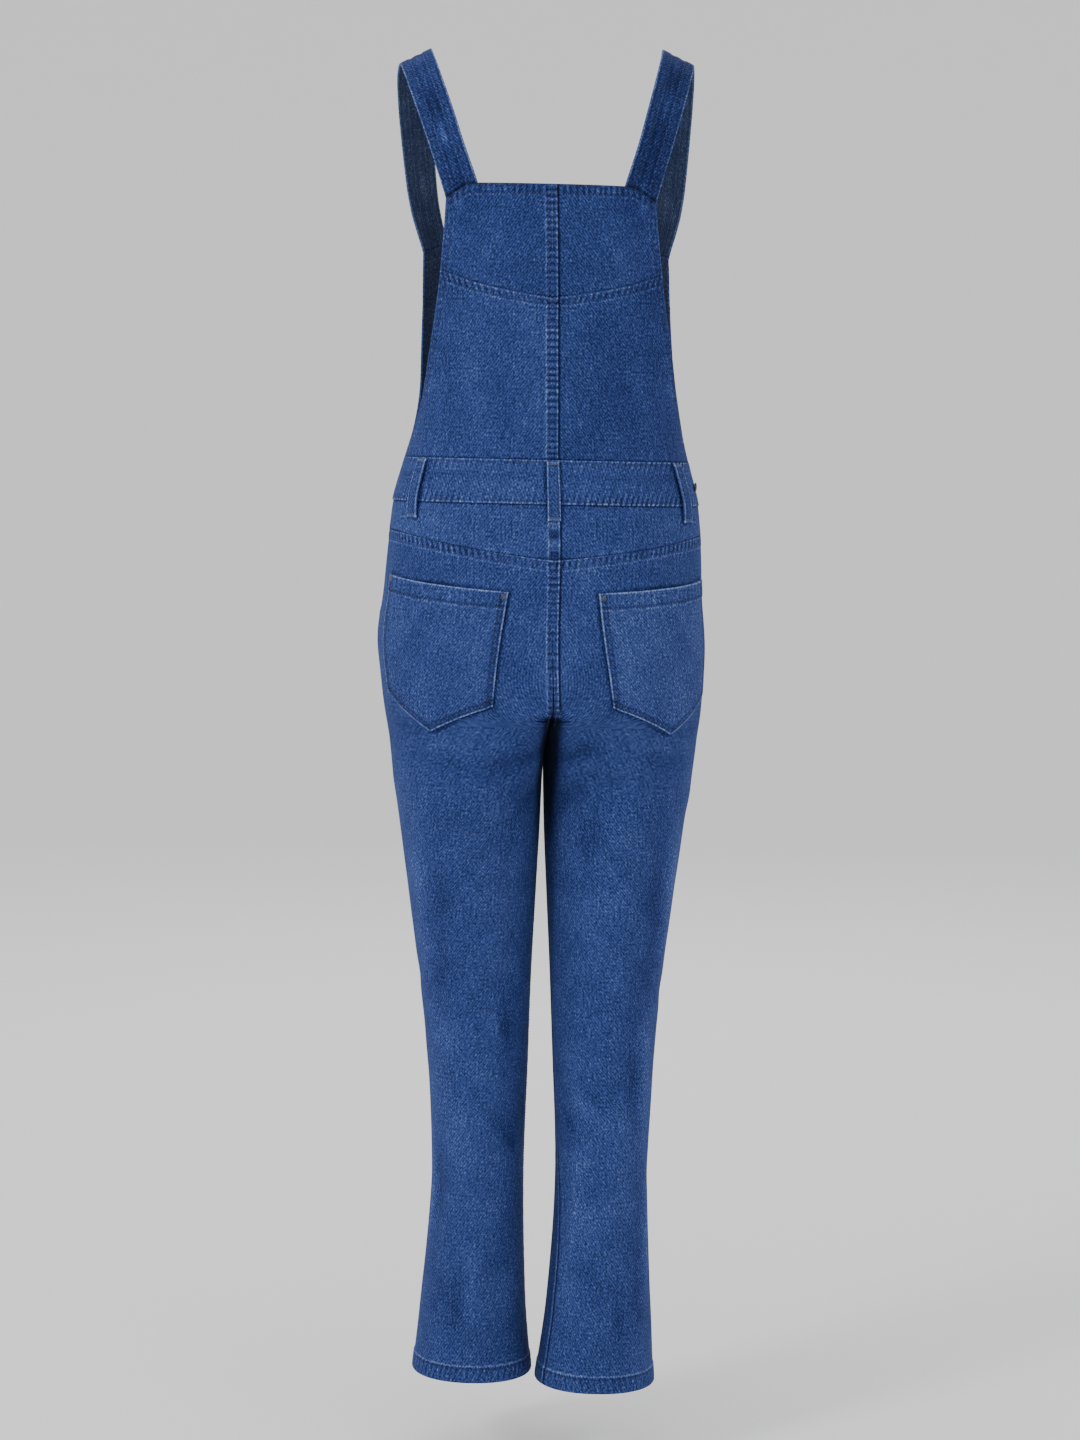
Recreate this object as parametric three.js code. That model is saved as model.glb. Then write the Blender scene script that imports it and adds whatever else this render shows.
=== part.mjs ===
// Denim dungarees, filled out as when worn, with nothing inside.
// Millimetres. +Z is up, +Y is the way the wearer faces, +X is the wearer's right.
// The origin lies midway between the two strap crests, where the shoulders carry the garment.
import * as THREE from "three";

// Cloth and sewing sizes.
const WALL = 1.6; // one thickness of denim with its seam allowances
const BAND_RELIEF = 0.9; // how much a turned or doubled edge stands above a single one
const SEAM_GAP = 0.3; // clear space between neighbouring pieces
const LAY_GAP = 0.6; // clear space under a piece that lies on a panel
const EDGE = SEAM_GAP / 2;
const STEP = 0.8; // width of the slope at the edge of a raised band
const HEM_DEPTH = 17;
const ARMHOLE_HEM = 10;
const FELL_HALF = 6; // half the width of a flat-felled seam
const TURNED = 0.6 * BAND_RELIEF; // relief of a bib's turned edges and felled seams
const TOP_HEM = 11; // turned depth of the bibs' top edges
const SEAM_BAND = 9; // turned depth under a seam across a bib
const BIB_HALF = 125; // rough width of half a back bib, for placing its bands
const FRONT_WIDE = 320; // rough width of the front bib
const HIP_REACH = 160; // rough distance of the side seam from the centre line
const LEG_REACH = 70; // rough distance of the side seam from the leg's axis

// Heights of the main seams, before the garment's own tilt.
const BACK_TOP = -137; // top edge of the back bib
const BACK_TOP_DROP = 13; // how far the top edge falls at the armhole, under the strap
const BACK_TOP_LEVEL = 0.66; // share of the way out to the armhole where that fall starts
const V_CENTRE = -251; // lowest point of the V seam
const V_RISE = 26.5;
const FRONT_TOP = -188; // top edge of the front bib
const FRONT_TOP_DROP = 10;
const FRONT_TOP_LEVEL = 0.6;
const FRONT_BAND = -249; // seam under the front bib's top band
const WAIST_TOP = -415;
const WAIST_BOTTOM = -460;
const YOKE_SIDE = -490; // trouser yoke seam at the side
const YOKE_DROP = 26; // how much lower it is at the centre back
const YOKE_CURVE = 1.05; // near 1 the seam makes a V at the centre back
const YOKE_BAND = 14; // depth over which the yoke thickens towards that seam
const YOKE_RELIEF = 0.36;
const LEVEL = -560; // from here down the rows of the legs are level
const SEAT_START = -585; // where the seat curve leaves the centre-back line
const CROTCH = -688;
const SEAT_POWER = 2; // 2 makes the seat curve a quarter of an ellipse
const CORNER_ROUND = 70; // how widely the legs' inner corners round below the crotch
const SEAT_ROUND = 0.1; // the share of it that the seat has above the crotch
const ROUNDS_FROM = -662; // from here down the share grows
const ROUNDS_WHOLE = -705;
const SCOOP_END = -585; // lower end of the hip pocket opening
const KNEE = -950;
const HEM = -1385;
const HEM_RELIEF = 0.8 * BAND_RELIEF;

// The trunk's outline at each height: half its width, and its depth in front and behind.
const TRUNK_POWER = 2.3;
const TRUNK = table("z wide front back", [
  [-130, 150, 100, 99],
  [-200, 148, 114, 103],
  [-250, 144, 118, 100],
  [-300, 140, 110, 94],
  [-345, 138, 101, 91],
  [-385, 141, 99, 93],
  [-415, 148, 100, 98],
  [-460, 160, 104, 106],
  [-500, 164, 106, 114],
  [-550, 167, 106, 122],
  [-600, 172, 105, 127],
  [-640, 170, 103, 124],
  [-690, 165.5, 99, 115],
  [-740, 159, 95, 104],
  [-790, 154, 92, 96],
]);

// One leg's outline: its axis from the centre line and forward of it, half its width, and its depths.
const LEG_POWER = 2.15;
const LEG = table("z spread forward wide front back", [
  [-460, 80, 0, 80, 100, 100],
  [-600, 86, 0, 85, 98, 118],
  [-690, 82.5, 0, 81, 90, 105],
  [-785, 77.1, 2, 75, 84, 90],
  [-870, 73.2, 4, 67.5, 78, 80],
  [-956, 69.7, 3, 60, 72, 73],
  [-1042, 66.6, -3, 54, 65, 68],
  [-1172, 65.4, -14, 49, 58, 65],
  [-1303, 66.2, -20, 55.5, 58, 65],
  [-1385, 65, -20, 63.2, 61, 67],
]);
const LEGS_PART = -665; // from here down the trunk's outline turns into the legs'
const LEGS_WHOLE = -790;

// How the filled garment stands: shift and tilt to the side, turn in degrees, one leg behind the other.
const STANCE = table("z middle turn tilt stagger", [
  [10, 0, 0, 0, 0],
  [-140, 1.5, 0, 0.022, 0],
  [-345, 2, 0.5, 0.022, 0],
  [-415, 0, 1.5, 0.022, 0],
  [-500, -2, 3, 0.022, 0],
  [-600, -6, 3.4, 0.022, 0],
  [-690, -4, 3.4, 0.022, 0],
  [-785, -5, 2.5, 0.022, 0],
  [-956, -6.5, 1, 0.022, 4],
  [-1172, -8.4, 0, 0.022, 11],
  [-1385, -15.5, 0, 0.022, 17],
]);

// Armhole edges: how far round from the side each bib's edge lies, in degrees.
const BACK_ARMHOLE = table("z angle", [
  [-130, 48],
  [-190, 45],
  [-253, 38],
  [-312, 27],
  [-369, 14],
  [-415, 0],
]);
const FRONT_ARMHOLE = table("z angle", [
  [-190, 31],
  [-249, 26],
  [-302, 19.5],
  [-360, 11.5],
  [-415, 0],
]);

// The hip pocket's opening: the front leg's edge, in degrees forward of the side seam.
const SCOOP = table("z angle", [
  [-460, 60],
  [-490, 53],
  [-520, 42],
  [-550, 27],
  [-572, 12],
  [-585, 0],
]);

// Soft folds on the legs: side (1 right, -1 left), place, size and how far they stand out.
const FOLDS_END = { from: 125, to: 165 }; // degrees from the side seam where they fade out inwards
const FOLDS = table("side angle z slant round tall high", [
  [1, -95, -745, 0.5, 55, 13, -3.5],
  [1, -80, -790, 0.4, 60, 14, 2.5],
  [-1, -95, -740, 0.5, 55, 13, -3.5],
  [-1, -75, -782, 0.4, 60, 14, 2.5],
  [1, -60, -948, -0.5, 60, 15, -2.5],
  [-1, -50, -930, -0.6, 60, 15, -2.5],
  [-1, -100, -985, 0.5, 50, 16, 2],
  [1, -110, -1010, 0.5, 50, 16, 2],
  [1, 80, -742, -0.5, 60, 13, -3],
  [-1, 85, -748, -0.5, 60, 13, -3],
  [1, 90, -1000, 0.3, 60, 15, 2.5],
  [-1, 90, -1012, 0.3, 60, 15, 2.5],
  [1, -90, -1180, 0.2, 70, 18, -2],
  [-1, -90, -1196, 0.2, 70, 18, -2],
]);

// A strap's middle line on the wearer's right, from the back bib over the shoulder to the front bib.
// turn and drop, in degrees, lay the strap's width round the body and down the slope of the shoulder.
const STRAP_WIDE = 36;
const STRAP_THICK = 2.4;
const STRAP_BAND = 10; // doubled depth along each edge of a strap
const STRAP_HOLLOW = 0.4; // how much thinner a strap is between those edges
const STRAP_SEATED = 0.15; // share of its length over which an end leaves the bib's surface
const STRAP = table("x y z turn drop", [
  [93, -84.5, -141, 23, 20],
  [101.5, -84.5, -112, 22, 18],
  [112, -79, -77, 18, 18],
  [123.5, -61, -40, 12, 21],
  [132.5, -34, -11, 5, 25],
  [136, -3, 0, 0, 26],
  [138.5, 28, -11, -5, 24],
  [138, 51, -42, -12, 18],
  [135, 66, -88, -21, 12],
  [130.5, 73, -138, -31, 10],
  [124.5, 75.5, -172, -38, 12],
  [120.6, 75.9, -193.5, -42, 14],
]);

// Back pocket, in degrees round the leg's axis and heights.
const POCKET = {
  innerTop: -108,
  innerBottom: -101,
  outer: -27,
  topInner: -549.5,
  topOuter: -536,
  cornerInner: -665.5,
  point: -695,
  cornerOuter: -656,
  pointShare: 0.46,
  hem: 17,
  relief: 0.7 * BAND_RELIEF,
};

// Belt loops: degrees round the trunk from the side, minus for the back.
const LOOP_WIDE = 13.5;
const LOOP_TOP = -417;
const LOOP_BOTTOM = -477;
const LOOP_BOW = 1.56; // how far a loop bows out between its sewn ends
const LOOP_BOW_END = 0.94; // share of its length where the lower sewn end starts
const LOOP_BOW_SHAPE = 0.7; // below 1 makes the bow flatter in the middle and steeper at its ends
const LOOP_ON_YOKE = 0.4; // how far its lower end lies above the yoke
const LOOPS = [
  { name: "belt_loop_back_centre", side: 1, angle: -90 },
  { name: "belt_loop_back_right", side: 1, angle: -31 },
  { name: "belt_loop_back_left", side: -1, angle: -31 },
  { name: "belt_loop_front_right", side: 1, angle: 48 },
  { name: "belt_loop_front_left", side: -1, angle: 48 },
];

// The snap at the wearer's right end of the waistband.
// The rim starts at half the thickness and leads to a dished centre, in shares of radius and thickness.
const SNAP = { angle: -13, z: -440, radius: 4.5, thick: 1.6, clear: 1.1, rim: 0.8, dish: 0.45, sunk: 0.7 };

const DENIM = { color: 0x2f4f86, roughness: 0.9, metalness: 0 };
const DARK_METAL = { color: 0x2b2e35, roughness: 0.45, metalness: 0.9 };

const HALVINGS = 40; // steps of each search by halving
const FAR_OUT = 400; // farther from a leg's axis than any outline
const ALMOST_ACROSS = 0.02; // cosine below which a direction misses the plane between the legs

// Rows of numbers become rows with named columns.
function table(names, rows) {
  const columns = names.split(" ");
  return rows.map((row) => Object.fromEntries(columns.map((name, i) => [name, row[i]])));
}

const mix = (a, b, share) => a + (b - a) * share;
const clamp = (x) => Math.min(1, Math.max(0, x));
const degrees = (angle) => (angle * 180) / Math.PI;
const radians = (angle) => (angle * Math.PI) / 180;

function smooth(from, to, x) {
  const t = clamp((x - from) / (to - from));
  return t * t * (3 - 2 * t);
}

// One column of a table at a height, on a smooth curve through the rows, which run downwards.
function along(rows, column, z) {
  const last = rows.length - 1;
  if (z >= rows[0].z) return rows[0][column];
  if (z <= rows[last].z) return rows[last][column];
  const i = rows.findIndex((row) => row.z <= z) - 1;
  const slope = (k) => {
    const a = rows[Math.max(0, k - 1)];
    const b = rows[Math.min(last, k + 1)];
    return (b[column] - a[column]) / (b.z - a.z);
  };
  const from = rows[i];
  const to = rows[i + 1];
  const span = to.z - from.z;
  const t = (z - from.z) / span;
  const h = t * t * (3 - 2 * t);
  const rise = t * (1 - t) * (1 - t) * slope(i) - t * t * (1 - t) * slope(i + 1);
  return mix(from[column], to[column], h) + rise * span;
}

// Puts a point of the upright, symmetric form where the filled garment has it.
function stand(x, y, z, side) {
  const turn = radians(along(STANCE, "turn", z));
  const back = y - side * along(STANCE, "stagger", z);
  const at = new THREE.Vector3(
    along(STANCE, "middle", z) + side * x * Math.cos(turn) - back * Math.sin(turn),
    side * x * Math.sin(turn) + back * Math.cos(turn),
    z,
  );
  at.z -= along(STANCE, "tilt", z) * at.x;
  return at;
}

// The trunk at an angle round from the side: -90 is the centre back, 90 the centre front.
function trunkPlan(angle, z) {
  const power = 2 / TRUNK_POWER;
  const across = Math.max(0, Math.cos(radians(angle)));
  const deep = Math.sin(radians(angle));
  const depth = along(TRUNK, deep > 0 ? "front" : "back", z);
  return {
    x: along(TRUNK, "wide", z) * across ** power,
    y: Math.sign(deep) * depth * Math.abs(deep) ** power,
  };
}

function trunk(side, angle, z) {
  const plan = trunkPlan(angle, z);
  return stand(plan.x, plan.y, z, side);
}

// Distance from a leg's axis to the trunk's outline in one direction.
function trunkReach(angle, z) {
  const spread = along(LEG, "spread", z);
  const forward = along(LEG, "forward", z);
  const wide = along(TRUNK, "wide", z);
  let near = 0;
  let far = FAR_OUT;
  for (let i = 0; i < HALVINGS; i++) {
    const middle = (near + far) / 2;
    const x = spread + middle * Math.cos(radians(angle));
    const y = forward + middle * Math.sin(radians(angle));
    const depth = along(TRUNK, y > 0 ? "front" : "back", z);
    const inside = Math.abs(x / wide) ** TRUNK_POWER + Math.abs(y / depth) ** TRUNK_POWER < 1;
    if (inside) near = middle;
    else far = middle;
  }
  return near;
}

// Distance from a leg's axis to the plane between the legs in one direction.
function planeReach(angle, z) {
  const towardsMiddle = -Math.cos(radians(angle));
  if (towardsMiddle < ALMOST_ACROSS) return Infinity;
  return (along(LEG, "spread", z) - EDGE) / towardsMiddle;
}

// Half of the trunk, closed by that plane, with a corner that rounds as far as the seat curve leaves room.
function halfTrunkReach(angle, z) {
  const outer = trunkReach(angle, z);
  const inner = planeReach(angle, z);
  if (inner === Infinity) return outer;
  const seat = innerAngle(Math.sign(angle), z);
  const share = mix(SEAT_ROUND, 1, smooth(ROUNDS_FROM, ROUNDS_WHOLE, z));
  const round = share * Math.min(CORNER_ROUND, trunkReach(seat, z) - planeReach(seat, z));
  const close = round > 0.1 ? Math.max(0, 1 - Math.abs(outer - inner) / round) : 0;
  return Math.min(outer, inner) - (close * close * round) / 4;
}

function legReach(angle, z) {
  const wide = along(LEG, "wide", z);
  const depth = along(LEG, angle > 0 ? "front" : "back", z);
  const x = Math.abs(Math.cos(radians(angle)) / wide) ** LEG_POWER;
  const y = Math.abs(Math.sin(radians(angle)) / depth) ** LEG_POWER;
  return (x + y) ** (-1 / LEG_POWER);
}

function foldHeight(side, angle, z) {
  let sum = 0;
  for (const fold of FOLDS) {
    if (fold.side !== side) continue;
    const round = (angle - fold.angle) / fold.round;
    const tall = (z - fold.z - fold.slant * (angle - fold.angle)) / fold.tall;
    sum += fold.high * Math.exp(-round * round - tall * tall);
  }
  return sum;
}

// A leg panel's point: angle 0 is the outer seam, -180 the inner seam reached round the back.
function leg(side, angle, z) {
  const share = smooth(LEGS_PART, LEGS_WHOLE, z);
  const inwards = 1 - smooth(FOLDS_END.from, FOLDS_END.to, Math.abs(angle));
  const reach =
    mix(halfTrunkReach(angle, z), legReach(angle, z), share) + foldHeight(side, angle, z) * inwards;
  const x = along(LEG, "spread", z) + reach * Math.cos(radians(angle));
  const y = along(LEG, "forward", z) + reach * Math.sin(radians(angle));
  return stand(Math.max(x, EDGE), y, z, side);
}

// The panel's edge at the centre line: down the seat, along the seat curve, then down the inner seam.
function innerAngle(face, z) {
  const spread = along(LEG, "spread", z);
  const forward = along(LEG, "forward", z);
  const depth = along(TRUNK, face > 0 ? "front" : "back", z);
  const t = clamp((z - SEAT_START) / (CROTCH - SEAT_START));
  const seat = t < 1 ? (1 - t ** SEAT_POWER) ** (1 / SEAT_POWER) : 0;
  const y = face * Math.max(depth * seat, EDGE) + forward * (1 - seat);
  return degrees(Math.atan2(y - forward, EDGE - spread));
}

// A closed sheet of cloth: its outer face, its inner face and the edges between them.
// at(u, v) gives the surface, outer(u, v) and inner(u, v) how far each face lies outside it.
// heart is a point behind the sheet, so that its outer face is known.
function sheet(name, us, vs, at, outer, inner, heart) {
  const small = 1e-3;
  const facing = (u, v) => {
    const du = u + small > 1 ? -small : small;
    const dv = v + small > 1 ? -small : small;
    const here = at(u, v);
    const right = at(u + du, v).sub(here).multiplyScalar(Math.sign(du));
    const down = at(u, v + dv).sub(here).multiplyScalar(Math.sign(dv));
    return right.cross(down).normalize();
  };
  const middle = facing(0.5, 0.5);
  const away = middle.dot(at(0.5, 0.5).sub(heart)) > 0 ? 1 : -1;
  const wide = us.length;
  const long = vs.length;
  const points = [];
  for (const face of [outer, inner])
    for (const v of vs)
      for (const u of us) {
        const normal = facing(u, v).multiplyScalar(away * face(u, v));
        points.push(at(u, v).add(normal));
      }
  const index = [];
  const layer = wide * long;
  const quad = (a, b, c, d) => index.push(a, b, c, a, c, d);
  for (let j = 0; j + 1 < long; j++)
    for (let i = 0; i + 1 < wide; i++) {
      const a = j * wide + i;
      quad(a, a + 1, a + wide + 1, a + wide);
      quad(layer + a, layer + a + wide, layer + a + wide + 1, layer + a + 1);
    }
  for (let i = 0; i + 1 < wide; i++) {
    const end = (long - 1) * wide + i;
    quad(i + 1, i, layer + i, layer + i + 1);
    quad(end, end + 1, layer + end + 1, layer + end);
  }
  for (let j = 0; j + 1 < long; j++) {
    const left = j * wide;
    const right = left + wide - 1;
    quad(left, left + wide, layer + left + wide, layer + left);
    quad(right + wide, right, layer + right, layer + right + wide);
  }
  if (away < 0) index.reverse();
  const geometry = new THREE.BufferGeometry().setFromPoints(points).setIndex(index);
  geometry.computeVertexNormals();
  const mesh = new THREE.Mesh(geometry, new THREE.MeshStandardMaterial(DENIM));
  mesh.name = name;
  garment.add(mesh);
}

// Even steps from 0 to 1, with more lines where a raised band starts or ends.
function steps(count, ...extra) {
  const tooNear = 0.3 / count;
  const even = Array.from({ length: count + 1 }, (_, i) => i / count);
  const clear = even.filter((x) => extra.every((e) => Math.abs(e - x) > tooNear));
  return [...new Set([...clear, ...extra])].sort((a, b) => a - b);
}

// 1 inside a band of the given depth from an edge, 0 beyond it, with a short slope between.
const raised = (distance, depth) => 1 - clamp((distance - depth) / STEP);

const sideName = (side) => (side > 0 ? "right" : "left");
const inside = () => -WALL;
const heartOf = (z) => stand(0, 0, z, 1);
const legHeart = (side, z) => stand(along(LEG, "spread", z), along(LEG, "forward", z), z, side);

// Degrees of turn that give half a seam's gap at this distance from the axis.
const gapAngle = (reach) => degrees(EDGE / reach);

// The angle round the trunk at share u of the way from one angle to the armhole's edge.
function bibAngle(face, from, u, z, armhole) {
  const edge = Math.max(along(armhole, "angle", z), gapAngle(along(TRUNK, "wide", z)));
  return face * mix(from, edge, u);
}

const backTop = (u) => BACK_TOP - BACK_TOP_DROP * smooth(BACK_TOP_LEVEL, 1, u) * u;
const frontTop = (u) => FRONT_TOP - FRONT_TOP_DROP * smooth(FRONT_TOP_LEVEL, 1, u) * u;
const vSeam = (u) => V_CENTRE + V_RISE * u;

function backBib(side) {
  const centre = 90 - gapAngle(2 * BIB_HALF);
  const slope = STEP / BIB_HALF;
  const fell = FELL_HALF / BIB_HALF;
  const armhole = 1 - ARMHOLE_HEM / BIB_HALF;
  const piece = (name, top, bottom, rows, band) =>
    sheet(
      name + "_" + sideName(side),
      steps(9, fell, fell + slope, armhole - slope, armhole),
      rows,
      (u, v) => {
        const z = mix(top(u), bottom(u), v);
        const plan = trunkPlan(bibAngle(-1, centre, u, z, BACK_ARMHOLE), z);
        return stand(Math.max(plan.x, EDGE), plan.y, z, side);
      },
      (u, v) => {
        const middleSeam = raised(u * BIB_HALF, FELL_HALF);
        const armholeHem = raised((1 - u) * BIB_HALF, ARMHOLE_HEM);
        return TURNED * Math.max(band(v), middleSeam, armholeHem);
      },
      inside,
      heartOf(bottom(0.5)),
    );
  const upper = BACK_TOP - V_CENTRE;
  piece(
    "back_bib_upper",
    backTop,
    (u) => vSeam(u) + EDGE,
    steps(5, TOP_HEM / upper, (TOP_HEM + STEP) / upper),
    (v) => raised(v * upper, TOP_HEM),
  );
  const lower = V_CENTRE - WAIST_TOP;
  piece(
    "back_bib_lower",
    (u) => vSeam(u) - EDGE,
    () => WAIST_TOP + EDGE,
    steps(9, SEAM_BAND / lower, (SEAM_BAND + STEP) / lower),
    (v) => raised(v * lower, SEAM_BAND),
  );
}

function frontBib() {
  const hem = ARMHOLE_HEM / FRONT_WIDE;
  const slope = STEP / FRONT_WIDE;
  const piece = (name, top, bottom, rows, band) =>
    sheet(
      name,
      steps(14, hem, hem + slope, 1 - hem - slope, 1 - hem),
      rows,
      (u, v) => {
        const side = u < 0.5 ? -1 : 1;
        const round = Math.abs(2 * u - 1);
        const z = mix(top(round), bottom, v);
        return trunk(side, bibAngle(1, 90, round, z, FRONT_ARMHOLE), z);
      },
      (u, v) => TURNED * Math.max(band(v), raised(Math.min(u, 1 - u) * FRONT_WIDE, ARMHOLE_HEM)),
      inside,
      heartOf(bottom),
    );
  const upper = FRONT_TOP - FRONT_BAND;
  piece(
    "front_bib_band",
    frontTop,
    FRONT_BAND + EDGE,
    steps(3, TOP_HEM / upper, (TOP_HEM + STEP) / upper),
    (v) => raised(v * upper, TOP_HEM),
  );
  const lower = FRONT_BAND - WAIST_TOP;
  piece(
    "front_bib",
    () => FRONT_BAND - EDGE,
    WAIST_TOP + EDGE,
    steps(7, SEAM_BAND / lower, (SEAM_BAND + STEP) / lower),
    (v) => raised(v * lower, SEAM_BAND),
  );
}

// The strap's middle line and its width at a share of its length.
const strapLine = new THREE.CatmullRomCurve3(STRAP.map((row) => new THREE.Vector3(row.x, row.y, row.z)));

// The angle round the trunk that lies a distance from another one, towards its target.
function angleAway(angle, target, z, distance) {
  const from = trunk(1, angle, z);
  let near = 0;
  let far = 1;
  for (let i = 0; i < HALVINGS; i++) {
    const middle = (near + far) / 2;
    if (trunk(1, mix(angle, target, middle), z).distanceTo(from) < distance) near = middle;
    else far = middle;
  }
  return mix(angle, target, near);
}

// The bib's top edge under a strap's end: u is 0 at the strap's inner edge, 1 at the armhole.
function strapSeat(side, face, u) {
  const top = face < 0 ? backTop : frontTop;
  const edge = along(face < 0 ? BACK_ARMHOLE : FRONT_ARMHOLE, "angle", top(1));
  const inner = angleAway(edge, 90, top(1), STRAP_WIDE);
  const angle = mix(inner, edge, u);
  const share = (90 - angle) / (90 - edge); // how far out it is on the bib, as the top edges count it
  return trunk(side, face * angle, top(share) + LAY_GAP);
}

// The strap as it runs by itself, at share u of its width and v of its length.
function strapRun(side, u, v) {
  const place = v * (STRAP.length - 1);
  const row = Math.min(STRAP.length - 2, Math.floor(place));
  const column = (name) => mix(STRAP[row][name], STRAP[row + 1][name], place - row);
  const middle = strapLine.getPoint(v);
  const run = strapLine.getTangent(v);
  const turn = radians(column("turn"));
  const drop = radians(column("drop"));
  const flat = Math.cos(drop);
  const across = new THREE.Vector3(Math.cos(turn) * flat, Math.sin(turn) * flat, -Math.sin(drop));
  across.addScaledVector(run, -across.dot(run)).normalize();
  const at = middle.addScaledVector(across, (u - 0.5) * STRAP_WIDE);
  return stand(at.x, at.y, at.z, side);
}

// Near its ends the run is shifted on to the bib's top edge.
function strapPoint(side, u, v) {
  const end = v < 0.5 ? 0 : 1;
  const shift = strapSeat(side, end ? 1 : -1, u).sub(strapRun(side, u, end));
  const share = 1 - smooth(0, STRAP_SEATED, Math.abs(v - end));
  return strapRun(side, u, v).addScaledVector(shift, share);
}

function strap(side) {
  const band = STRAP_BAND / STRAP_WIDE;
  const slope = STEP / STRAP_WIDE;
  sheet(
    "strap_" + sideName(side),
    [0, band, band + slope, 1 - band - slope, 1 - band, 1],
    steps(26),
    (u, v) => strapPoint(side, u, v),
    (u) => STRAP_THICK / 2 - STRAP_HOLLOW * (1 - raised(Math.min(u, 1 - u) * STRAP_WIDE, STRAP_BAND)),
    () => -STRAP_THICK / 2,
    stand(STRAP[0].x, 0, STRAP[0].z, side),
  );
}

function waistband(face) {
  const gap = gapAngle(along(TRUNK, "wide", WAIST_BOTTOM));
  sheet(
    face < 0 ? "waistband_back" : "waistband_front",
    steps(26),
    steps(3),
    (u, v) => {
      const side = u < 0.5 ? -1 : 1;
      const angle = face * mix(90, gap, Math.abs(2 * u - 1));
      return trunk(side, angle, mix(WAIST_TOP - EDGE, WAIST_BOTTOM + EDGE, v));
    },
    () => BAND_RELIEF,
    inside,
    heartOf(WAIST_TOP),
  );
}

// Height of the trouser yoke's seam at an angle round the trunk.
const yokeSeam = (angle) => YOKE_SIDE - YOKE_DROP * (1 - Math.abs(Math.cos(radians(angle))) ** YOKE_CURVE);

// Columns shared by the yoke and the back leg, so that their edges run together.
const LEG_COLUMNS = steps(11);
const yokeAngle = (u) => -mix(90, gapAngle(HIP_REACH), u);

function yoke(side) {
  const tall = WAIST_BOTTOM - YOKE_SIDE;
  sheet(
    "yoke_" + sideName(side),
    LEG_COLUMNS,
    steps(3),
    (u, v) => {
      const angle = yokeAngle(u);
      const z = mix(WAIST_BOTTOM - EDGE, yokeSeam(angle) + EDGE, v);
      const plan = trunkPlan(angle, z);
      return stand(Math.max(plan.x, EDGE), plan.y, z, side);
    },
    (u, v) => YOKE_RELIEF * smooth(1 - YOKE_BAND / tall, 1, v),
    inside,
    heartOf(WAIST_BOTTOM),
  );
}

// The direction from a leg's axis to the yoke's own point at column u.
function seamDirection(u) {
  const angle = yokeAngle(u);
  const z = yokeSeam(angle);
  const plan = trunkPlan(angle, z);
  return degrees(Math.atan2(plan.y, Math.max(plan.x, EDGE) - along(LEG, "spread", z)));
}

// Columns keep their direction down the leg, but for those near the inner edge, which follow it.
const NEAR_INNER = 2.5; // higher lets fewer columns follow
const followInner = (direction, first, inner, u) => direction + (inner - first) * (1 - u) ** NEAR_INNER;

// Heights of the rows below the level line, closer together where the seat curve turns under.
const ROWS = [-573, -586, -608, -630, -648, -662, -674, -683, -688, -698, -714, -734, -758, -785];
ROWS.push(-820, -862, -905, -950, -995, -1045, -1105, -1165, -1225, -1285, -1340);
ROWS.push(HEM + HEM_DEPTH + STEP, HEM + HEM_DEPTH, HEM);
const BACK_TOP_ROWS = 3;
const FRONT_TOP_ROWS = 6;

// A panel's height at row share v: the first rows fan out from the top seam.
function panelHeight(top, topRows, v) {
  const place = v * (topRows + ROWS.length);
  if (place <= topRows) return mix(top, LEVEL, place / topRows);
  const row = Math.min(ROWS.length - 1, Math.floor(place - topRows));
  const above = row === 0 ? LEVEL : ROWS[row - 1];
  return mix(above, ROWS[row], place - topRows - row);
}

const hemRelief = (z) => HEM_RELIEF * raised(z - HEM, HEM_DEPTH);

function backLeg(side) {
  sheet(
    "back_leg_" + sideName(side),
    LEG_COLUMNS,
    steps(BACK_TOP_ROWS + ROWS.length),
    (u, v) => {
      const z = panelHeight(yokeSeam(yokeAngle(u)) - EDGE, BACK_TOP_ROWS, v);
      return leg(side, followInner(seamDirection(u), seamDirection(0), innerAngle(-1, z), u), z);
    },
    (u, v) => hemRelief(panelHeight(YOKE_SIDE, BACK_TOP_ROWS, v)),
    inside,
    legHeart(side, KNEE),
  );
}

function frontLeg(side) {
  sheet(
    "front_leg_" + sideName(side),
    LEG_COLUMNS,
    steps(FRONT_TOP_ROWS + ROWS.length),
    (u, v) => {
      const z = panelHeight(WAIST_BOTTOM - EDGE, FRONT_TOP_ROWS, v);
      const inner = innerAngle(1, z);
      const first = innerAngle(1, WAIST_BOTTOM);
      const outer = Math.max(along(SCOOP, "angle", z), gapAngle(LEG_REACH));
      return leg(side, followInner(mix(first, outer, u), first, inner, u), z);
    },
    (u, v) => hemRelief(panelHeight(WAIST_BOTTOM, FRONT_TOP_ROWS, v)),
    inside,
    legHeart(side, KNEE),
  );
}

// The facing behind the hip pocket's opening, a little inside the front leg.
function hipFacing(side) {
  const under = WALL + 2 * LAY_GAP;
  const lap = { angle: 7, below: 4 }; // how far it reaches behind the front leg, in degrees and down
  sheet(
    "hip_pocket_facing_" + sideName(side),
    steps(8),
    steps(8),
    (u, v) => {
      const z = mix(WAIST_BOTTOM - EDGE, SCOOP_END - lap.below, v);
      const far = along(SCOOP, "angle", z) + lap.angle;
      return leg(side, mix(far, gapAngle(LEG_REACH), u), z);
    },
    () => -under,
    () => -under - WALL,
    legHeart(side, YOKE_SIDE),
  );
}

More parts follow.
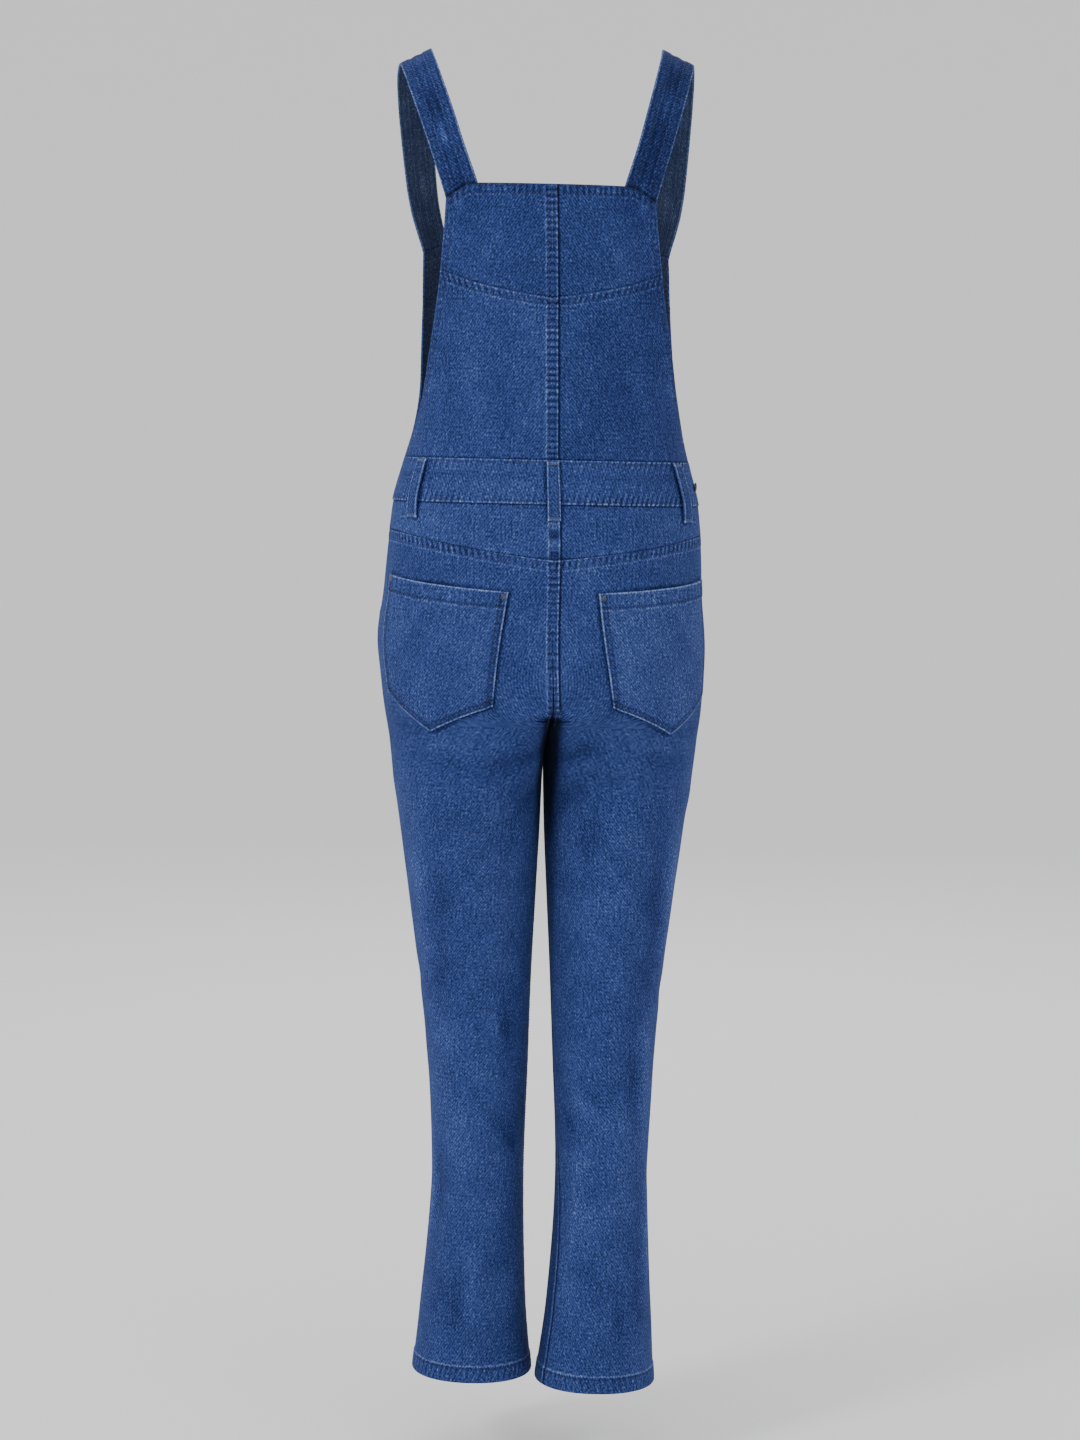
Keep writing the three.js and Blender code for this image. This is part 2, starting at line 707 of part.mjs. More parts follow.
function backPocket(side) {
  const top = (u) => mix(POCKET.topInner, POCKET.topOuter, u);
  const bottom = (u) =>
    u < POCKET.pointShare
      ? mix(POCKET.cornerInner, POCKET.point, u / POCKET.pointShare)
      : mix(POCKET.point, POCKET.cornerOuter, (u - POCKET.pointShare) / (1 - POCKET.pointShare));
  const tall = POCKET.topInner - POCKET.cornerInner;
  const hem = POCKET.hem / tall;
  sheet(
    "back_pocket_" + sideName(side),
    steps(9, POCKET.pointShare),
    steps(7, hem, hem + STEP / tall),
    (u, v) => {
      const hemLine = top(u) - POCKET.hem;
      const z = v < hem ? mix(top(u), hemLine, v / hem) : mix(hemLine, bottom(u), (v - hem) / (1 - hem));
      const inner = mix(POCKET.innerTop, POCKET.innerBottom, v);
      return leg(side, mix(inner, POCKET.outer, u), z);
    },
    (u, v) => LAY_GAP + WALL + POCKET.relief * raised(v * tall, POCKET.hem),
    () => LAY_GAP,
    legHeart(side, POCKET.topInner),
  );
}

// A loop lies on the waistband at its top and on the panel below it, and stands off between.
function beltLoop({ name, side, angle }) {
  const inner = angleAway(Math.abs(angle), 90, WAIST_BOTTOM, LOOP_WIDE / 2) - Math.abs(angle);
  const outer = Math.abs(angle) - angleAway(Math.abs(angle), 0, WAIST_BOTTOM, LOOP_WIDE / 2);
  const low = angle === -90 ? outer : inner;
  const bandEnd = (LOOP_TOP - WAIST_BOTTOM) / (LOOP_TOP - LOOP_BOTTOM);
  const standoff = (v) => {
    const bow = Math.sin(Math.PI * clamp(v / LOOP_BOW_END)) ** LOOP_BOW_SHAPE;
    return LAY_GAP + mix(BAND_RELIEF, LOOP_ON_YOKE, smooth(bandEnd, 1, v)) + LOOP_BOW * bow;
  };
  sheet(
    name,
    steps(2),
    steps(10),
    (u, v) => {
      const face = Math.sign(angle);
      const across = Math.abs(angle) + mix(low, -outer, u);
      const z = mix(LOOP_TOP, LOOP_BOTTOM, v);
      if (across > 90) return trunk(-side, face * (180 - across), z);
      return trunk(side, face * across, z);
    },
    (u, v) => standoff(v) + WALL,
    (u, v) => standoff(v),
    heartOf(WAIST_BOTTOM),
  );
}

function sideSnap() {
  const seat = trunk(1, SNAP.angle, SNAP.z);
  const ahead = trunk(1, SNAP.angle + 1, SNAP.z).sub(seat);
  const outwards = ahead.cross(new THREE.Vector3(0, 0, 1)).normalize();
  const profile = [
    [0, 0],
    [SNAP.radius, 0],
    [SNAP.radius, SNAP.thick / 2],
    [SNAP.radius * SNAP.rim, SNAP.thick],
    [SNAP.radius * SNAP.dish, SNAP.thick * SNAP.sunk],
    [0, SNAP.thick * SNAP.sunk],
  ].map(([radius, height]) => new THREE.Vector2(radius, height));
  const metal = new THREE.MeshStandardMaterial(DARK_METAL);
  const snap = new THREE.Mesh(new THREE.LatheGeometry(profile, 20), metal);
  snap.name = "side_snap";
  snap.quaternion.setFromUnitVectors(new THREE.Vector3(0, 1, 0), outwards);
  snap.position.copy(seat).addScaledVector(outwards, BAND_RELIEF + SNAP.clear);
  garment.add(snap);
}

const garment = new THREE.Group();
for (const side of [1, -1]) {
  backBib(side);
  strap(side);
  yoke(side);
  backLeg(side);
  frontLeg(side);
  hipFacing(side);
  backPocket(side);
}
frontBib();
waistband(-1);
waistband(1);
LOOPS.forEach(beltLoop);
sideSnap();

export default garment;
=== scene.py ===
"""Denim dungarees, filled out as when worn: cloth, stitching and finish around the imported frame.

The forms repeat those of the CAD source, in its millimetres, on finer grids; meshes are made in metres.
"""

import math

import bpy
import numpy as np
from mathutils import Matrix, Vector


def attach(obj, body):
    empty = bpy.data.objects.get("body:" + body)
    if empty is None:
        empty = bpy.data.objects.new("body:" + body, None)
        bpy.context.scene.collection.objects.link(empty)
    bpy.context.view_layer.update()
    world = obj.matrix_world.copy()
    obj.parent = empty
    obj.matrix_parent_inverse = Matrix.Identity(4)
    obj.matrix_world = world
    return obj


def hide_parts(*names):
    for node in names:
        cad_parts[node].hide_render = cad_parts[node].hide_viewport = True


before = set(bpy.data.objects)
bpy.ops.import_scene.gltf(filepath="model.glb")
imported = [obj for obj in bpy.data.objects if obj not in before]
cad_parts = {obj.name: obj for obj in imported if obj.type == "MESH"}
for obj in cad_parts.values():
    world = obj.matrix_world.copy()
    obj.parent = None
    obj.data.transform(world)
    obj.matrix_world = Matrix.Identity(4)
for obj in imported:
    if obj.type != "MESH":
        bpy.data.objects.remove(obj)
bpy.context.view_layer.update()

MM = 0.001

# Cloth and sewing sizes.
WALL = 1.6
BAND_RELIEF = 0.9
EDGE = 0.04  # half the gap at a seam between two pieces, closed as far as cloth that is sewn together
SEAM = 0.03  # the same down the middle
LAY_GAP = 0.6
STEP = 0.8  # width of the slope at the edge of a raised band
HEM_DEPTH = 17
ARMHOLE_HEM = 10
FELL_HALF = 6
FELL_ROW = {1: 3.0, -1: 4.0}  # the row of stitches on each side of the centre seam
TURNED = 0.6 * BAND_RELIEF
TOP_HEM = 11
SEAM_BAND = 9
HEM_RELIEF = 0.8 * BAND_RELIEF

# Heights of the main seams, before the garment's own tilt.
BACK_TOP = -137
BACK_TOP_DROP = 13
BACK_TOP_LEVEL = 0.66
V_CENTRE = -251
V_RISE = 26.5
FRONT_TOP = -188
FRONT_TOP_DROP = 10
FRONT_TOP_LEVEL = 0.6
FRONT_BAND = -249
WAIST_TOP = -415
WAIST_BOTTOM = -460
YOKE_SIDE = -490
YOKE_DROP = 26
YOKE_CURVE = 1.05
YOKE_BAND = 14
YOKE_FELL = 11
YOKE_FELL_RELIEF = 0.3
YOKE_RELIEF = 0.36
INSEAM_FELL = 8
INSEAM_TWIST = 27  # how far the right leg's inner seam has turned to the back at the hem
LEVEL = -560
SEAT_START = -585
CROTCH = -688
CORNER_ROUND = 70
SEAT_ROUND = 0.1
ROUNDS_FROM = -662
ROUNDS_WHOLE = -705
SCOOP_END = -585
HEM = -1385

# Distances from the axis to the side seams, and the panels' widths on the cloth.
BIB_REACH = 148
HIP_REACH = 160
LEG_REACH = 70
BACK_BIB_WIDE = 125
FRONT_BIB_WIDE = 320
WAISTBAND_WIDE = 400
YOKE_WIDE = 240
BACK_LEG_WIDE = 245
FRONT_LEG_WIDE = 225
POCKET_WIDE = 118


def table(names, rows):
    """Rows of numbers as one array for each named column."""
    return dict(zip(names.split(), np.array(rows, float).T))


TRUNK_POWER = 2.3
TRUNK = table("z wide front back", [
    (-130, 150, 100, 99), (-200, 148, 114, 103), (-250, 144, 118, 100), (-300, 140, 110, 94),
    (-345, 138, 101, 91), (-385, 141, 99, 93), (-415, 148, 100, 98), (-460, 160, 104, 106),
    (-500, 164, 106, 114), (-550, 167, 106, 122), (-600, 172, 105, 127), (-640, 170, 103, 124),
    (-690, 165.5, 99, 115), (-740, 159, 95, 104), (-790, 154, 92, 96),
])

LEG_POWER = 2.15
LEG = table("z spread forward wide front back", [
    (-460, 80, 0, 80, 100, 100), (-600, 86, 0, 85, 98, 118), (-690, 82.5, 0, 81, 90, 105),
    (-785, 77.1, 2, 75, 84, 90), (-870, 73.2, 4, 67.5, 78, 80), (-956, 69.7, 3, 60, 72, 73),
    (-1042, 66.6, -3, 54, 65, 68), (-1172, 65.4, -14, 49, 58, 65), (-1303, 66.2, -20, 55.5, 58, 65),
    (-1385, 65, -20, 63.2, 61, 67),
])
LEGS_PART = -665
LEGS_WHOLE = -790
LEGS_TOUCH = (0.5, 1.4)  # from the middle plane, where the halves lie on each other and where they are free

STANCE = table("z middle turn tilt stagger", [
    (10, 0, 0, 0, 0), (-140, 1.5, 0, 0.022, 0), (-345, 2, 0.5, 0.022, 0), (-415, 0, 1.5, 0.022, 0),
    (-500, -2, 3, 0.022, 0), (-600, -6, 3.4, 0.022, 0), (-690, -4, 3.4, 0.022, 0),
    (-785, -5, 2.5, 0.022, 0), (-956, -6.5, 1, 0.022, 4), (-1172, -8.4, 0, 0.022, 11),
    (-1385, -15.5, 0, 0.022, 17),
])

BACK_ARMHOLE = table("z angle", [(-130, 48), (-190, 45), (-253, 38), (-312, 27), (-369, 14), (-415, 0)])
FRONT_ARMHOLE = table("z angle", [(-190, 31), (-249, 26), (-302, 19.5), (-360, 11.5), (-415, 0)])
SCOOP = table("z angle", [(-460, 60), (-490, 53), (-520, 42), (-550, 27), (-572, 12), (-585, 0)])

FOLDS_END = (125, 165)
FOLDS = [
    # side angle z slant round tall high
    (1, -95, -745, 0.5, 55, 13, -3.5), (1, -80, -790, 0.4, 60, 14, 2.5),
    (-1, -95, -740, 0.5, 55, 13, -3.5), (-1, -75, -782, 0.4, 60, 14, 2.5),
    (1, -60, -948, -0.5, 60, 15, -2.5), (-1, -50, -930, -0.6, 60, 15, -2.5),
    (-1, -100, -985, 0.5, 50, 16, 2), (1, -110, -1010, 0.5, 50, 16, 2), (1, 80, -742, -0.5, 60, 13, -3),
    (-1, 85, -748, -0.5, 60, 13, -3), (1, 90, -1000, 0.3, 60, 15, 2.5), (-1, 90, -1012, 0.3, 60, 15, 2.5),
    (1, -90, -1180, 0.2, 70, 18, -2), (-1, -90, -1196, 0.2, 70, 18, -2),
]

# Finer creases, listed one by one. lean is their turn from upright in degrees; long and wide are half sizes.
LEG_CREASES = [
    # side angle z lean long wide high
    (1, -36, -880, 2, 75, 9, 1.5), (1, -56, -885, 3, 80, 10, -1.5), (1, -64, -1050, 4, 75, 9, -1.2),
    (1, -48, -1060, 2, 60, 9, 0.9), (1, -102, -1076, 52, 16, 6, -1.6), (1, -112, -1088, 48, 18, 6, 1.1),
    (1, -130, -1104, 40, 16, 6, -1.5), (1, -92, -1062, 75, 18, 6, -1.1), (1, -34, -1230, -3, 55, 8, 1.5),
    (1, -52, -1240, -2, 60, 9, -1.1), (1, -73, -1315, 6, 30, 8, -1.2), (1, -120, -1190, -4, 60, 9, 0.9),
    (1, -70, -722, 80, 26, 9, -1.3), (1, -120, -716, -62, 22, 8, -1.8), (1, -128, -760, -40, 26, 8, -1.2),
    (1, -110, -800, -12, 50, 10, -0.9), (1, 70, -1045, 62, 20, 8, -1.5), (1, 95, -1068, 70, 22, 8, 1.2),
    (1, 110, -900, 4, 70, 10, 1.0), (1, 60, -1200, -4, 60, 10, -1.0), (-1, -117, -1006, -6, 26, 7, -1.5),
    (-1, -104, -1000, -5, 30, 8, 0.9), (-1, -146, -1096, -22, 14, 6, -2.0),
    (-1, -127, -1134, -48, 14, 6, -1.5), (-1, -112, -1110, -55, 20, 7, -0.9),
    (-1, -27, -1190, 2, 60, 8, 1.5), (-1, -45, -1195, 2, 60, 9, -1.0), (-1, -60, -900, 4, 80, 11, -1.0),
    (-1, -38, -890, 3, 80, 10, 0.9), (-1, -88, -1290, 0, 45, 9, 0.9), (-1, -72, -1300, 2, 45, 9, -0.9),
    (-1, -72, -726, -78, 26, 9, -1.1), (-1, -118, -722, 62, 22, 8, -1.8),
    (-1, -130, -770, 38, 24, 8, -1.1), (-1, 72, -1050, -60, 20, 8, -1.5),
    (-1, 98, -1072, -72, 22, 8, 1.2), (-1, 112, -905, -4, 70, 10, 1.0), (-1, 62, -1205, 4, 60, 10, -1.0),
]
TRUNK_CREASES = [
    (1, -62, -350, 4, 48, 9, -0.8), (1, -50, -360, 6, 46, 9, 0.8), (1, -30, -335, 12, 40, 8, 1.1),
    (1, -76, -385, -3, 26, 8, -0.6), (-1, -58, -352, -4, 50, 10, 0.7), (-1, -44, -362, -7, 44, 9, -0.7),
    (-1, -74, -380, 3, 26, 8, -0.6), (1, -66, -205, 2, 40, 12, 0.6), (-1, -70, -210, -3, 38, 12, 0.6),
    (1, -40, -475, 0, 12, 12, -0.5), (-1, -52, -478, 0, 12, 12, -0.5), (1, 60, -340, -5, 46, 10, 0.8),
    (-1, 64, -345, 5, 46, 10, -0.8), (1, 74, -300, -2, 40, 11, -0.6), (-1, 50, -372, 8, 32, 9, 0.8),
]
# The creases, the radius that turns degrees into millimetres, their strength and the slow unevenness.
ON_LEG = (LEG_CREASES, 68, 1.25, 0.45)
ON_TRUNK = (TRUNK_CREASES, 125, 1.1, 0.35)
ON_BAND = (TRUNK_CREASES, 125, 1.1, 0.25)

STRAP_WIDE = 36
STRAP_THICK = 2.4
STRAP_BAND = 10
STRAP_HOLLOW = 0.4
STRAP_SEATED = 0.15
STRAP_UNDER = 1.3  # how far an end runs into the fold of the bib's edge
STRAP = table("x y z turn drop", [
    (93, -84.5, -141, 23, 20), (101.5, -84.5, -112, 22, 18), (112, -79, -77, 18, 18),
    (123.5, -61, -40, 12, 21), (132.5, -34, -11, 5, 25), (136, -3, 0, 0, 26), (138.5, 28, -11, -5, 24),
    (138, 51, -42, -12, 18), (135, 66, -88, -21, 12), (130.5, 73, -138, -31, 10),
    (124.5, 75.5, -172, -38, 12), (120.6, 75.9, -193.5, -42, 14),
])

POCKET = {
    "inner_top": -108, "inner_bottom": -101, "outer": -27, "top_inner": -549.5, "top_outer": -536,
    "corner_inner": -665.5, "point": -695, "corner_outer": -656, "point_share": 0.46,
}
POCKET_HEM = 17
POCKET_RELIEF = 0.7 * BAND_RELIEF
POCKET_SPREAD = 1.7  # cloth beside a pocket is further from the leg's axis than on the rest of the leg

FACING_LAP = (7, 4)  # how far a pocket facing reaches past the scoop: degrees round, millimetres down

LOOP_WIDE = 13.5
LOOP_TOP = -417
LOOP_BOTTOM = -477
LOOP_TALL = LOOP_TOP - LOOP_BOTTOM
LOOP_BOW = 1.56
LOOP_BOW_END = 0.94
LOOP_BOW_SHAPE = 0.7
LOOP_ON_YOKE = 0.4
LOOPS = [
    ("belt_loop_back_centre", 1, -90),
    ("belt_loop_back_right", 1, -31),
    ("belt_loop_back_left", -1, -31),
    ("belt_loop_front_right", 1, 48),
    ("belt_loop_front_left", -1, 48),
]

SNAP = {"angle": -13.0, "z": -440.0, "radius": 4.5, "thick": 1.6, "clear": 1.1}
SNAP_PROFILE = [
    (0, 0), (0.96, 0), (1, 0.12), (1, 0.42), (0.97, 0.66), (0.9, 0.86), (0.82, 0.97), (0.74, 1),
    (0.66, 0.97), (0.58, 0.86), (0.5, 0.74), (0.4, 0.69), (0.2, 0.7), (0, 0.71),
]
SNAP_SEGMENTS = 48

HALVINGS = 40
FAR_OUT = 400
ALMOST_ACROSS = 0.02
NEAR_INNER = 2.5

# Stitches: what their mesh is called, then their pitch, length and width in millimetres.
STITCH = ("stitching_", 3.2, 2.4, 0.62)
TACK = ("tacks_", 1.2, 1.6, 0.9)
STITCH_HIGH = 0.34
STITCH_SUNK = -0.12

INSIDE_WEAR_AND_SHADE = 0.8  # how much of the wear, and of the painted light and shade, shows on the wrong side
INSIDE_SHIFT = 0.7  # how much of the gathers does
SHARP = math.radians(50)

# How much lighter or darker than the rest each piece is painted, in the units of wear:
# partly its own dye and wash, partly painted light and shade for how the piece faces the light; the right
# strap's darkness is painted shade.
PIECE_TONE_AND_SHADE = {
    "back_bib_upper_left": -0.6,
    "back_bib_upper_right": -0.6,
    "back_bib_lower_right": -0.45,
    "front_bib": -0.4,
    "front_bib_band": -0.4,
    "strap_left": -0.5,
    "strap_right": -1.3,
    "waistband_back": 0.4,
    "yoke_left": 0.4,
    "yoke_right": 0.2,
    "back_leg_right": 0.1,
    "front_leg_right": 0.1,
    "back_pocket_left": 0.25,
    "back_pocket_right": 0.85,
}

# Grid spacings, in millimetres, and lines at fixed distances from an edge.
FINE = 1.8  # along seams that gather
PLAIN = 4.9  # where the cloth only bends softly
FRONT_ROWS = 2.2
FRONT_COLUMNS = 2.6
BAND_ROWS = 2.4
BAND_COLUMNS = 1.5
SEAT_ROWS = 2.3
FRONT_SEAT_ROWS = 3.6
FRONT_LEG_COLUMNS = 2.7
POCKET_ROWS = 2.0
STRAP_ROWS = 240
LOOP_ROWS = 44
FACING_GRID = (30, 50)
EDGE_LINES = (0.4, 0.9, 1.4, 2.0, 2.8)
FELL_LINES = (0.7, 1.6, 2.6, 3.6, 4.4, 5.2, 6.0, 6.8, 7.6, 8.6)
BAND_LINES = (*EDGE_LINES, 3.8, 5)
POCKET_LINES = (0.4, 0.9, 1.4, 2.0, 2.7, 3.6, 4.6, 5.6, 6.4, 7.2, 8.2)
INSEAM_LINES = (0.7, 2.5, 5.3, FELL_HALF, 6.8, 9)
STRAP_LINES = (0, 0.4, 0.9, 1.4, 2.0, 2.8, 4, 5.5, 7, 8, 8.8, 9.6, 10.4, 11.2, 12.2, 13.4, 14.8, 16.4, 18)
LOOP_LINES = (0, 0.4, 0.9, 1.4, 2.0, 2.7, 3.4, 4.4, 5.4, 6.75)
CROTCH_ROWS = (6, 4, 2.4, 1.2, 0.4, 0)
HEM_ROWS = (
    3, 2.2, 1.4, STEP, 0, -0.7, -1.5, -2.3, -3.5, -5.5, -7.5, -9.5, -11.5, -13.5, -15, -16, -16.6, -17,
)

# Rows of stitches, at distances from an edge.
TOP_ROWS = (2.0, 9.4)
V_ROWS = (2.6, 7.6)
ARMHOLE_ROWS = (2.2, 8.4)
SCOOP_ROWS = (1.8, 7.6)
STRAP_SEWN = (2.4, 8.8)
POCKET_SEWN = (2.6, 7.0)
POCKET_TACKS = (1.6, 2.8, 4.0, 5.2, 6.4)
LOOP_SEWN = 2.7
LOOP_TACKS = (2.0, 3.2)


def mix(a, b, share):
    return a + (b - a) * share


def smooth(start, end, x):
    t = np.clip((x - start) / (end - start), 0, 1)
    return t * t * (3 - 2 * t)


def below(start, end, z):
    """A smooth step from 0 at height start to 1 at height end, which is further down."""
    return smooth(-start, -end, -z)


def bell(x):
    return np.exp(-x * x)


def inside(distance, depth):
    """1 on a band of some depth along an edge, with the slope of its step beyond it."""
    return 1 - np.clip((distance - depth) / STEP, 0, 1)


def ray(angle):
    return np.cos(np.radians(angle)), np.sin(np.radians(angle))


def arc(points):
    """The length along a line of points, from 0 at its start."""
    return np.concatenate([[0], np.cumsum(np.linalg.norm(np.diff(points, axis=0), axis=1))])


def along(rows, column, z):
    """One column of a table at heights z, on a smooth curve through the rows, which run downwards."""
    heights, values = rows["z"], rows[column]
    last = len(heights) - 1
    z = np.clip(z, heights[last], heights[0])
    i = np.clip(np.searchsorted(-heights, -z, side="right") - 1, 0, last - 1)
    before = np.maximum(np.arange(last + 1) - 1, 0)
    after = np.minimum(np.arange(last + 1) + 1, last)
    slope = (values[after] - values[before]) / (heights[after] - heights[before])
    span = heights[i + 1] - heights[i]
    t = (z - heights[i]) / span
    rise = t * (1 - t) ** 2 * slope[i] - t * t * (1 - t) * slope[i + 1]
    return mix(values[i], values[i + 1], t * t * (3 - 2 * t)) + rise * span


def depth_of(rows, ahead, z):
    """How deep the trunk or a leg is, in front of its axis or behind it."""
    return np.where(ahead > 0, along(rows, "front", z), along(rows, "back", z))


def leg_axis(z):
    return along(LEG, "spread", z), along(LEG, "forward", z)


def stand(x, y, z, side):
    """Puts points of the upright, symmetric form where the filled garment has them."""
    run_x, run_y = ray(along(STANCE, "turn", z))
    back = y - side * along(STANCE, "stagger", z)
    across = side * x
    at_x = along(STANCE, "middle", z) + across * run_x - back * run_y
    at_z = z - along(STANCE, "tilt", z) * at_x
    return np.stack(np.broadcast_arrays(at_x, across * run_y + back * run_x, at_z), -1)


def trunk_plan(angle, z):
    """The trunk at an angle round from the side: -90 is the centre back, 90 the centre front."""
    power = 2 / TRUNK_POWER
    across, deep = ray(angle)
    x = along(TRUNK, "wide", z) * np.maximum(0, across) ** power
    return x, np.sign(deep) * depth_of(TRUNK, deep, z) * np.abs(deep) ** power


def trunk(side, angle, z):
    return stand(*trunk_plan(angle, z), z, side)


def half_trunk(side, angle, z):
    """The same for a piece that ends at the middle plane."""
    x, y = trunk_plan(angle, z)
    return stand(np.maximum(x, SEAM), y, z, side)


def trunk_reach(angle, z):
    """Distance from a leg's axis to the trunk's outline in one direction."""
    spread, forward = leg_axis(z)
    wide, front, back = (along(TRUNK, name, z) for name in ("wide", "front", "back"))
    run_x, run_y = ray(angle)
    near = np.zeros(np.broadcast(angle, z).shape)
    far = near + FAR_OUT
    for _ in range(HALVINGS):
        middle = (near + far) / 2
        x, y = spread + middle * run_x, forward + middle * run_y
        depth = np.where(y > 0, front, back)
        within = np.abs(x / wide) ** TRUNK_POWER + np.abs(y / depth) ** TRUNK_POWER < 1
        near, far = np.where(within, middle, near), np.where(within, far, middle)
    return near


def plane_reach(angle, z):
    """Distance from a leg's axis to the plane between the legs in one direction."""
    towards = -ray(angle)[0]
    reach = (along(LEG, "spread", z) - SEAM) / np.maximum(towards, ALMOST_ACROSS)
    return np.where(towards < ALMOST_ACROSS, np.inf, reach)


def inner_angle(face, z):
    """The panel's edge at the centre line: down the seat, along the seat curve, down the inner seam."""
    spread, forward = leg_axis(z)
    t = np.clip((z - SEAT_START) / (CROTCH - SEAT_START), 0, 1)
    seat = np.sqrt(1 - t * t)
    y = face * np.maximum(depth_of(TRUNK, face, z) * seat, SEAM) + forward * (1 - seat)
    return np.degrees(np.arctan2(y - forward, SEAM - spread))


def half_trunk_reach(angle, z):
    """Half of the trunk, closed by that plane, with a corner that rounds as far as there is room."""
    outer, inner = trunk_reach(angle, z), plane_reach(angle, z)
    seat = inner_angle(np.sign(angle), z)
    share = mix(SEAT_ROUND, 1, below(ROUNDS_FROM, ROUNDS_WHOLE, z))
    room = share * np.minimum(CORNER_ROUND, trunk_reach(seat, z) - plane_reach(seat, z))
    near = 1 - np.abs(outer - inner) / np.maximum(room, 0.1)
    close = np.where(room > 0.1, np.maximum(0, near), 0)
    return np.minimum(outer, inner) - close * close * room / 4


def leg_reach(angle, z):
    run_x, run_y = ray(angle)
    x = np.abs(run_x / along(LEG, "wide", z)) ** LEG_POWER
    y = np.abs(run_y / depth_of(LEG, angle, z)) ** LEG_POWER
    return (x + y) ** (-1 / LEG_POWER)


def fold_height(side, angle, z):
    total = np.zeros(np.broadcast(angle, z).shape)
    for fold_side, at, height, slant, turn, tall, high in FOLDS:
        if fold_side == side:
            total += high * bell((angle - at) / turn) * bell((z - height - slant * (angle - at)) / tall)
    return total


def inwards(angle):
    """1 round most of a leg, fading to 0 at its inner seam."""
    return 1 - smooth(*FOLDS_END, np.abs(angle))


def leg_plan(side, angle, z):
    """A leg in plan: angle 0 is the outer seam, -180 the inner seam reached round the back."""
    reach = mix(half_trunk_reach(angle, z), leg_reach(angle, z), below(LEGS_PART, LEGS_WHOLE, z))
    reach = reach + fold_height(side, angle, z) * inwards(angle)
    (spread, forward), (run_x, run_y) = leg_axis(z), ray(angle)
    return np.maximum(spread + reach * run_x, SEAM), forward + reach * run_y


def leg(side, angle, z):
    return stand(*leg_plan(side, angle, z), z, side)


def creases(rows, radius, side, angle, z):
    """How far the listed creases lift the cloth."""
    total = np.zeros(np.broadcast(side, angle, z).shape)
    for crease_side, at, height, lean, long, wide, high in rows:
        right, down = np.radians(angle - at) * radius, z - height
        run_x, run_y = ray(lean)
        across = (right * run_x + down * run_y) / wide
        length = (down * run_x - right * run_y) / long
        total += np.where(side == crease_side, high * bell(across) * bell(length), 0)
    return total


def ripple(points):
    """Slow unevenness of hung cloth, between about -1 and 1, the same on both sides of any seam."""
    x, y, z = points[..., 0], points[..., 1], points[..., 2]
    a = np.sin(x / 17 + 1.9 * np.sin(z / 41 + 0.7)) * np.sin(z / 29 + 1.3 * np.sin(y / 23))
    b = np.sin(y / 13 + 1.1 * np.sin(z / 37)) * np.sin(z / 19 + 1.7 * np.sin(x / 31 + 2.0))
    return 0.6 * a + 0.4 * b


def gathers(run, pitch, seed):
    """Uneven gathers along a seam, from -1 to 1, at a distance run along it."""
    wander = 1.5 * np.sin(run / (3.7 * pitch) + seed) + 0.9 * np.sin(run / (1.9 * pitch) + 2.3 * seed)
    strength = 0.78 + 0.14 * np.sin(run / 31 + 1.7 * seed) + 0.08 * np.sin(run / 11 + 0.9 * seed)
    return strength * np.sin(2 * math.pi * run / pitch + wander)


def look(grid, row, column):
    """Values of a grid at shares 0 to 1 of its rows and columns, linear between them."""
    tall, wide = grid.shape
    j = np.clip(row, 0, 1) * (tall - 1)
    i = np.clip(column, 0, 1) * (wide - 1)
    j0 = np.minimum(j.astype(int), tall - 2)
    i0 = np.minimum(i.astype(int), wide - 2)
    upper = mix(grid[j0, i0], grid[j0, i0 + 1], i - i0)
    lower = mix(grid[j0 + 1, i0], grid[j0 + 1, i0 + 1], i - i0)
    return mix(upper, lower, j - j0)


def marks(length, spacing, near=(), far=()):
    """Lines across a length: how much of each is a fixed distance, how much follows the start or the end."""
    near, far = (0, *near), (0, *far)
    count = max(2, round((length - near[-1] - far[-1]) / spacing))
    share = np.arange(1, count) / count
    fixed = [near, near[-1] * (1 - share) - far[-1] * share, [-d for d in reversed(far)]]
    follow = [np.zeros(len(near)), share, np.ones(len(far))]
    return np.concatenate(fixed), np.concatenate(follow)


def band_lines(depth):
    """Distances from an edge that draw its fold, two rows of stitches and the end of a band."""
    between = np.arange(4, depth - 2.4, 1.6)
    return (*EDGE_LINES, *between, depth - 1.6, depth - 0.8, depth, depth + STEP, depth + 1.6, depth + 2.6)


def both_ways(lines):
    """Lines from an edge to the middle and on to the other edge, as shares of the width."""
    us = np.array(lines) / (2 * lines[-1])
    return np.concatenate([us, 1 - us[-2::-1]])


def flat(height):
    """A panel's edge at one height."""
    return lambda u: np.full(np.shape(u), float(height))


class Strip:
    """A grid of points on a strap, a loop or a facing, with its distances across and down."""

    def __init__(self, points, left, down):
        self.points, self.left, self.down = points, left, down


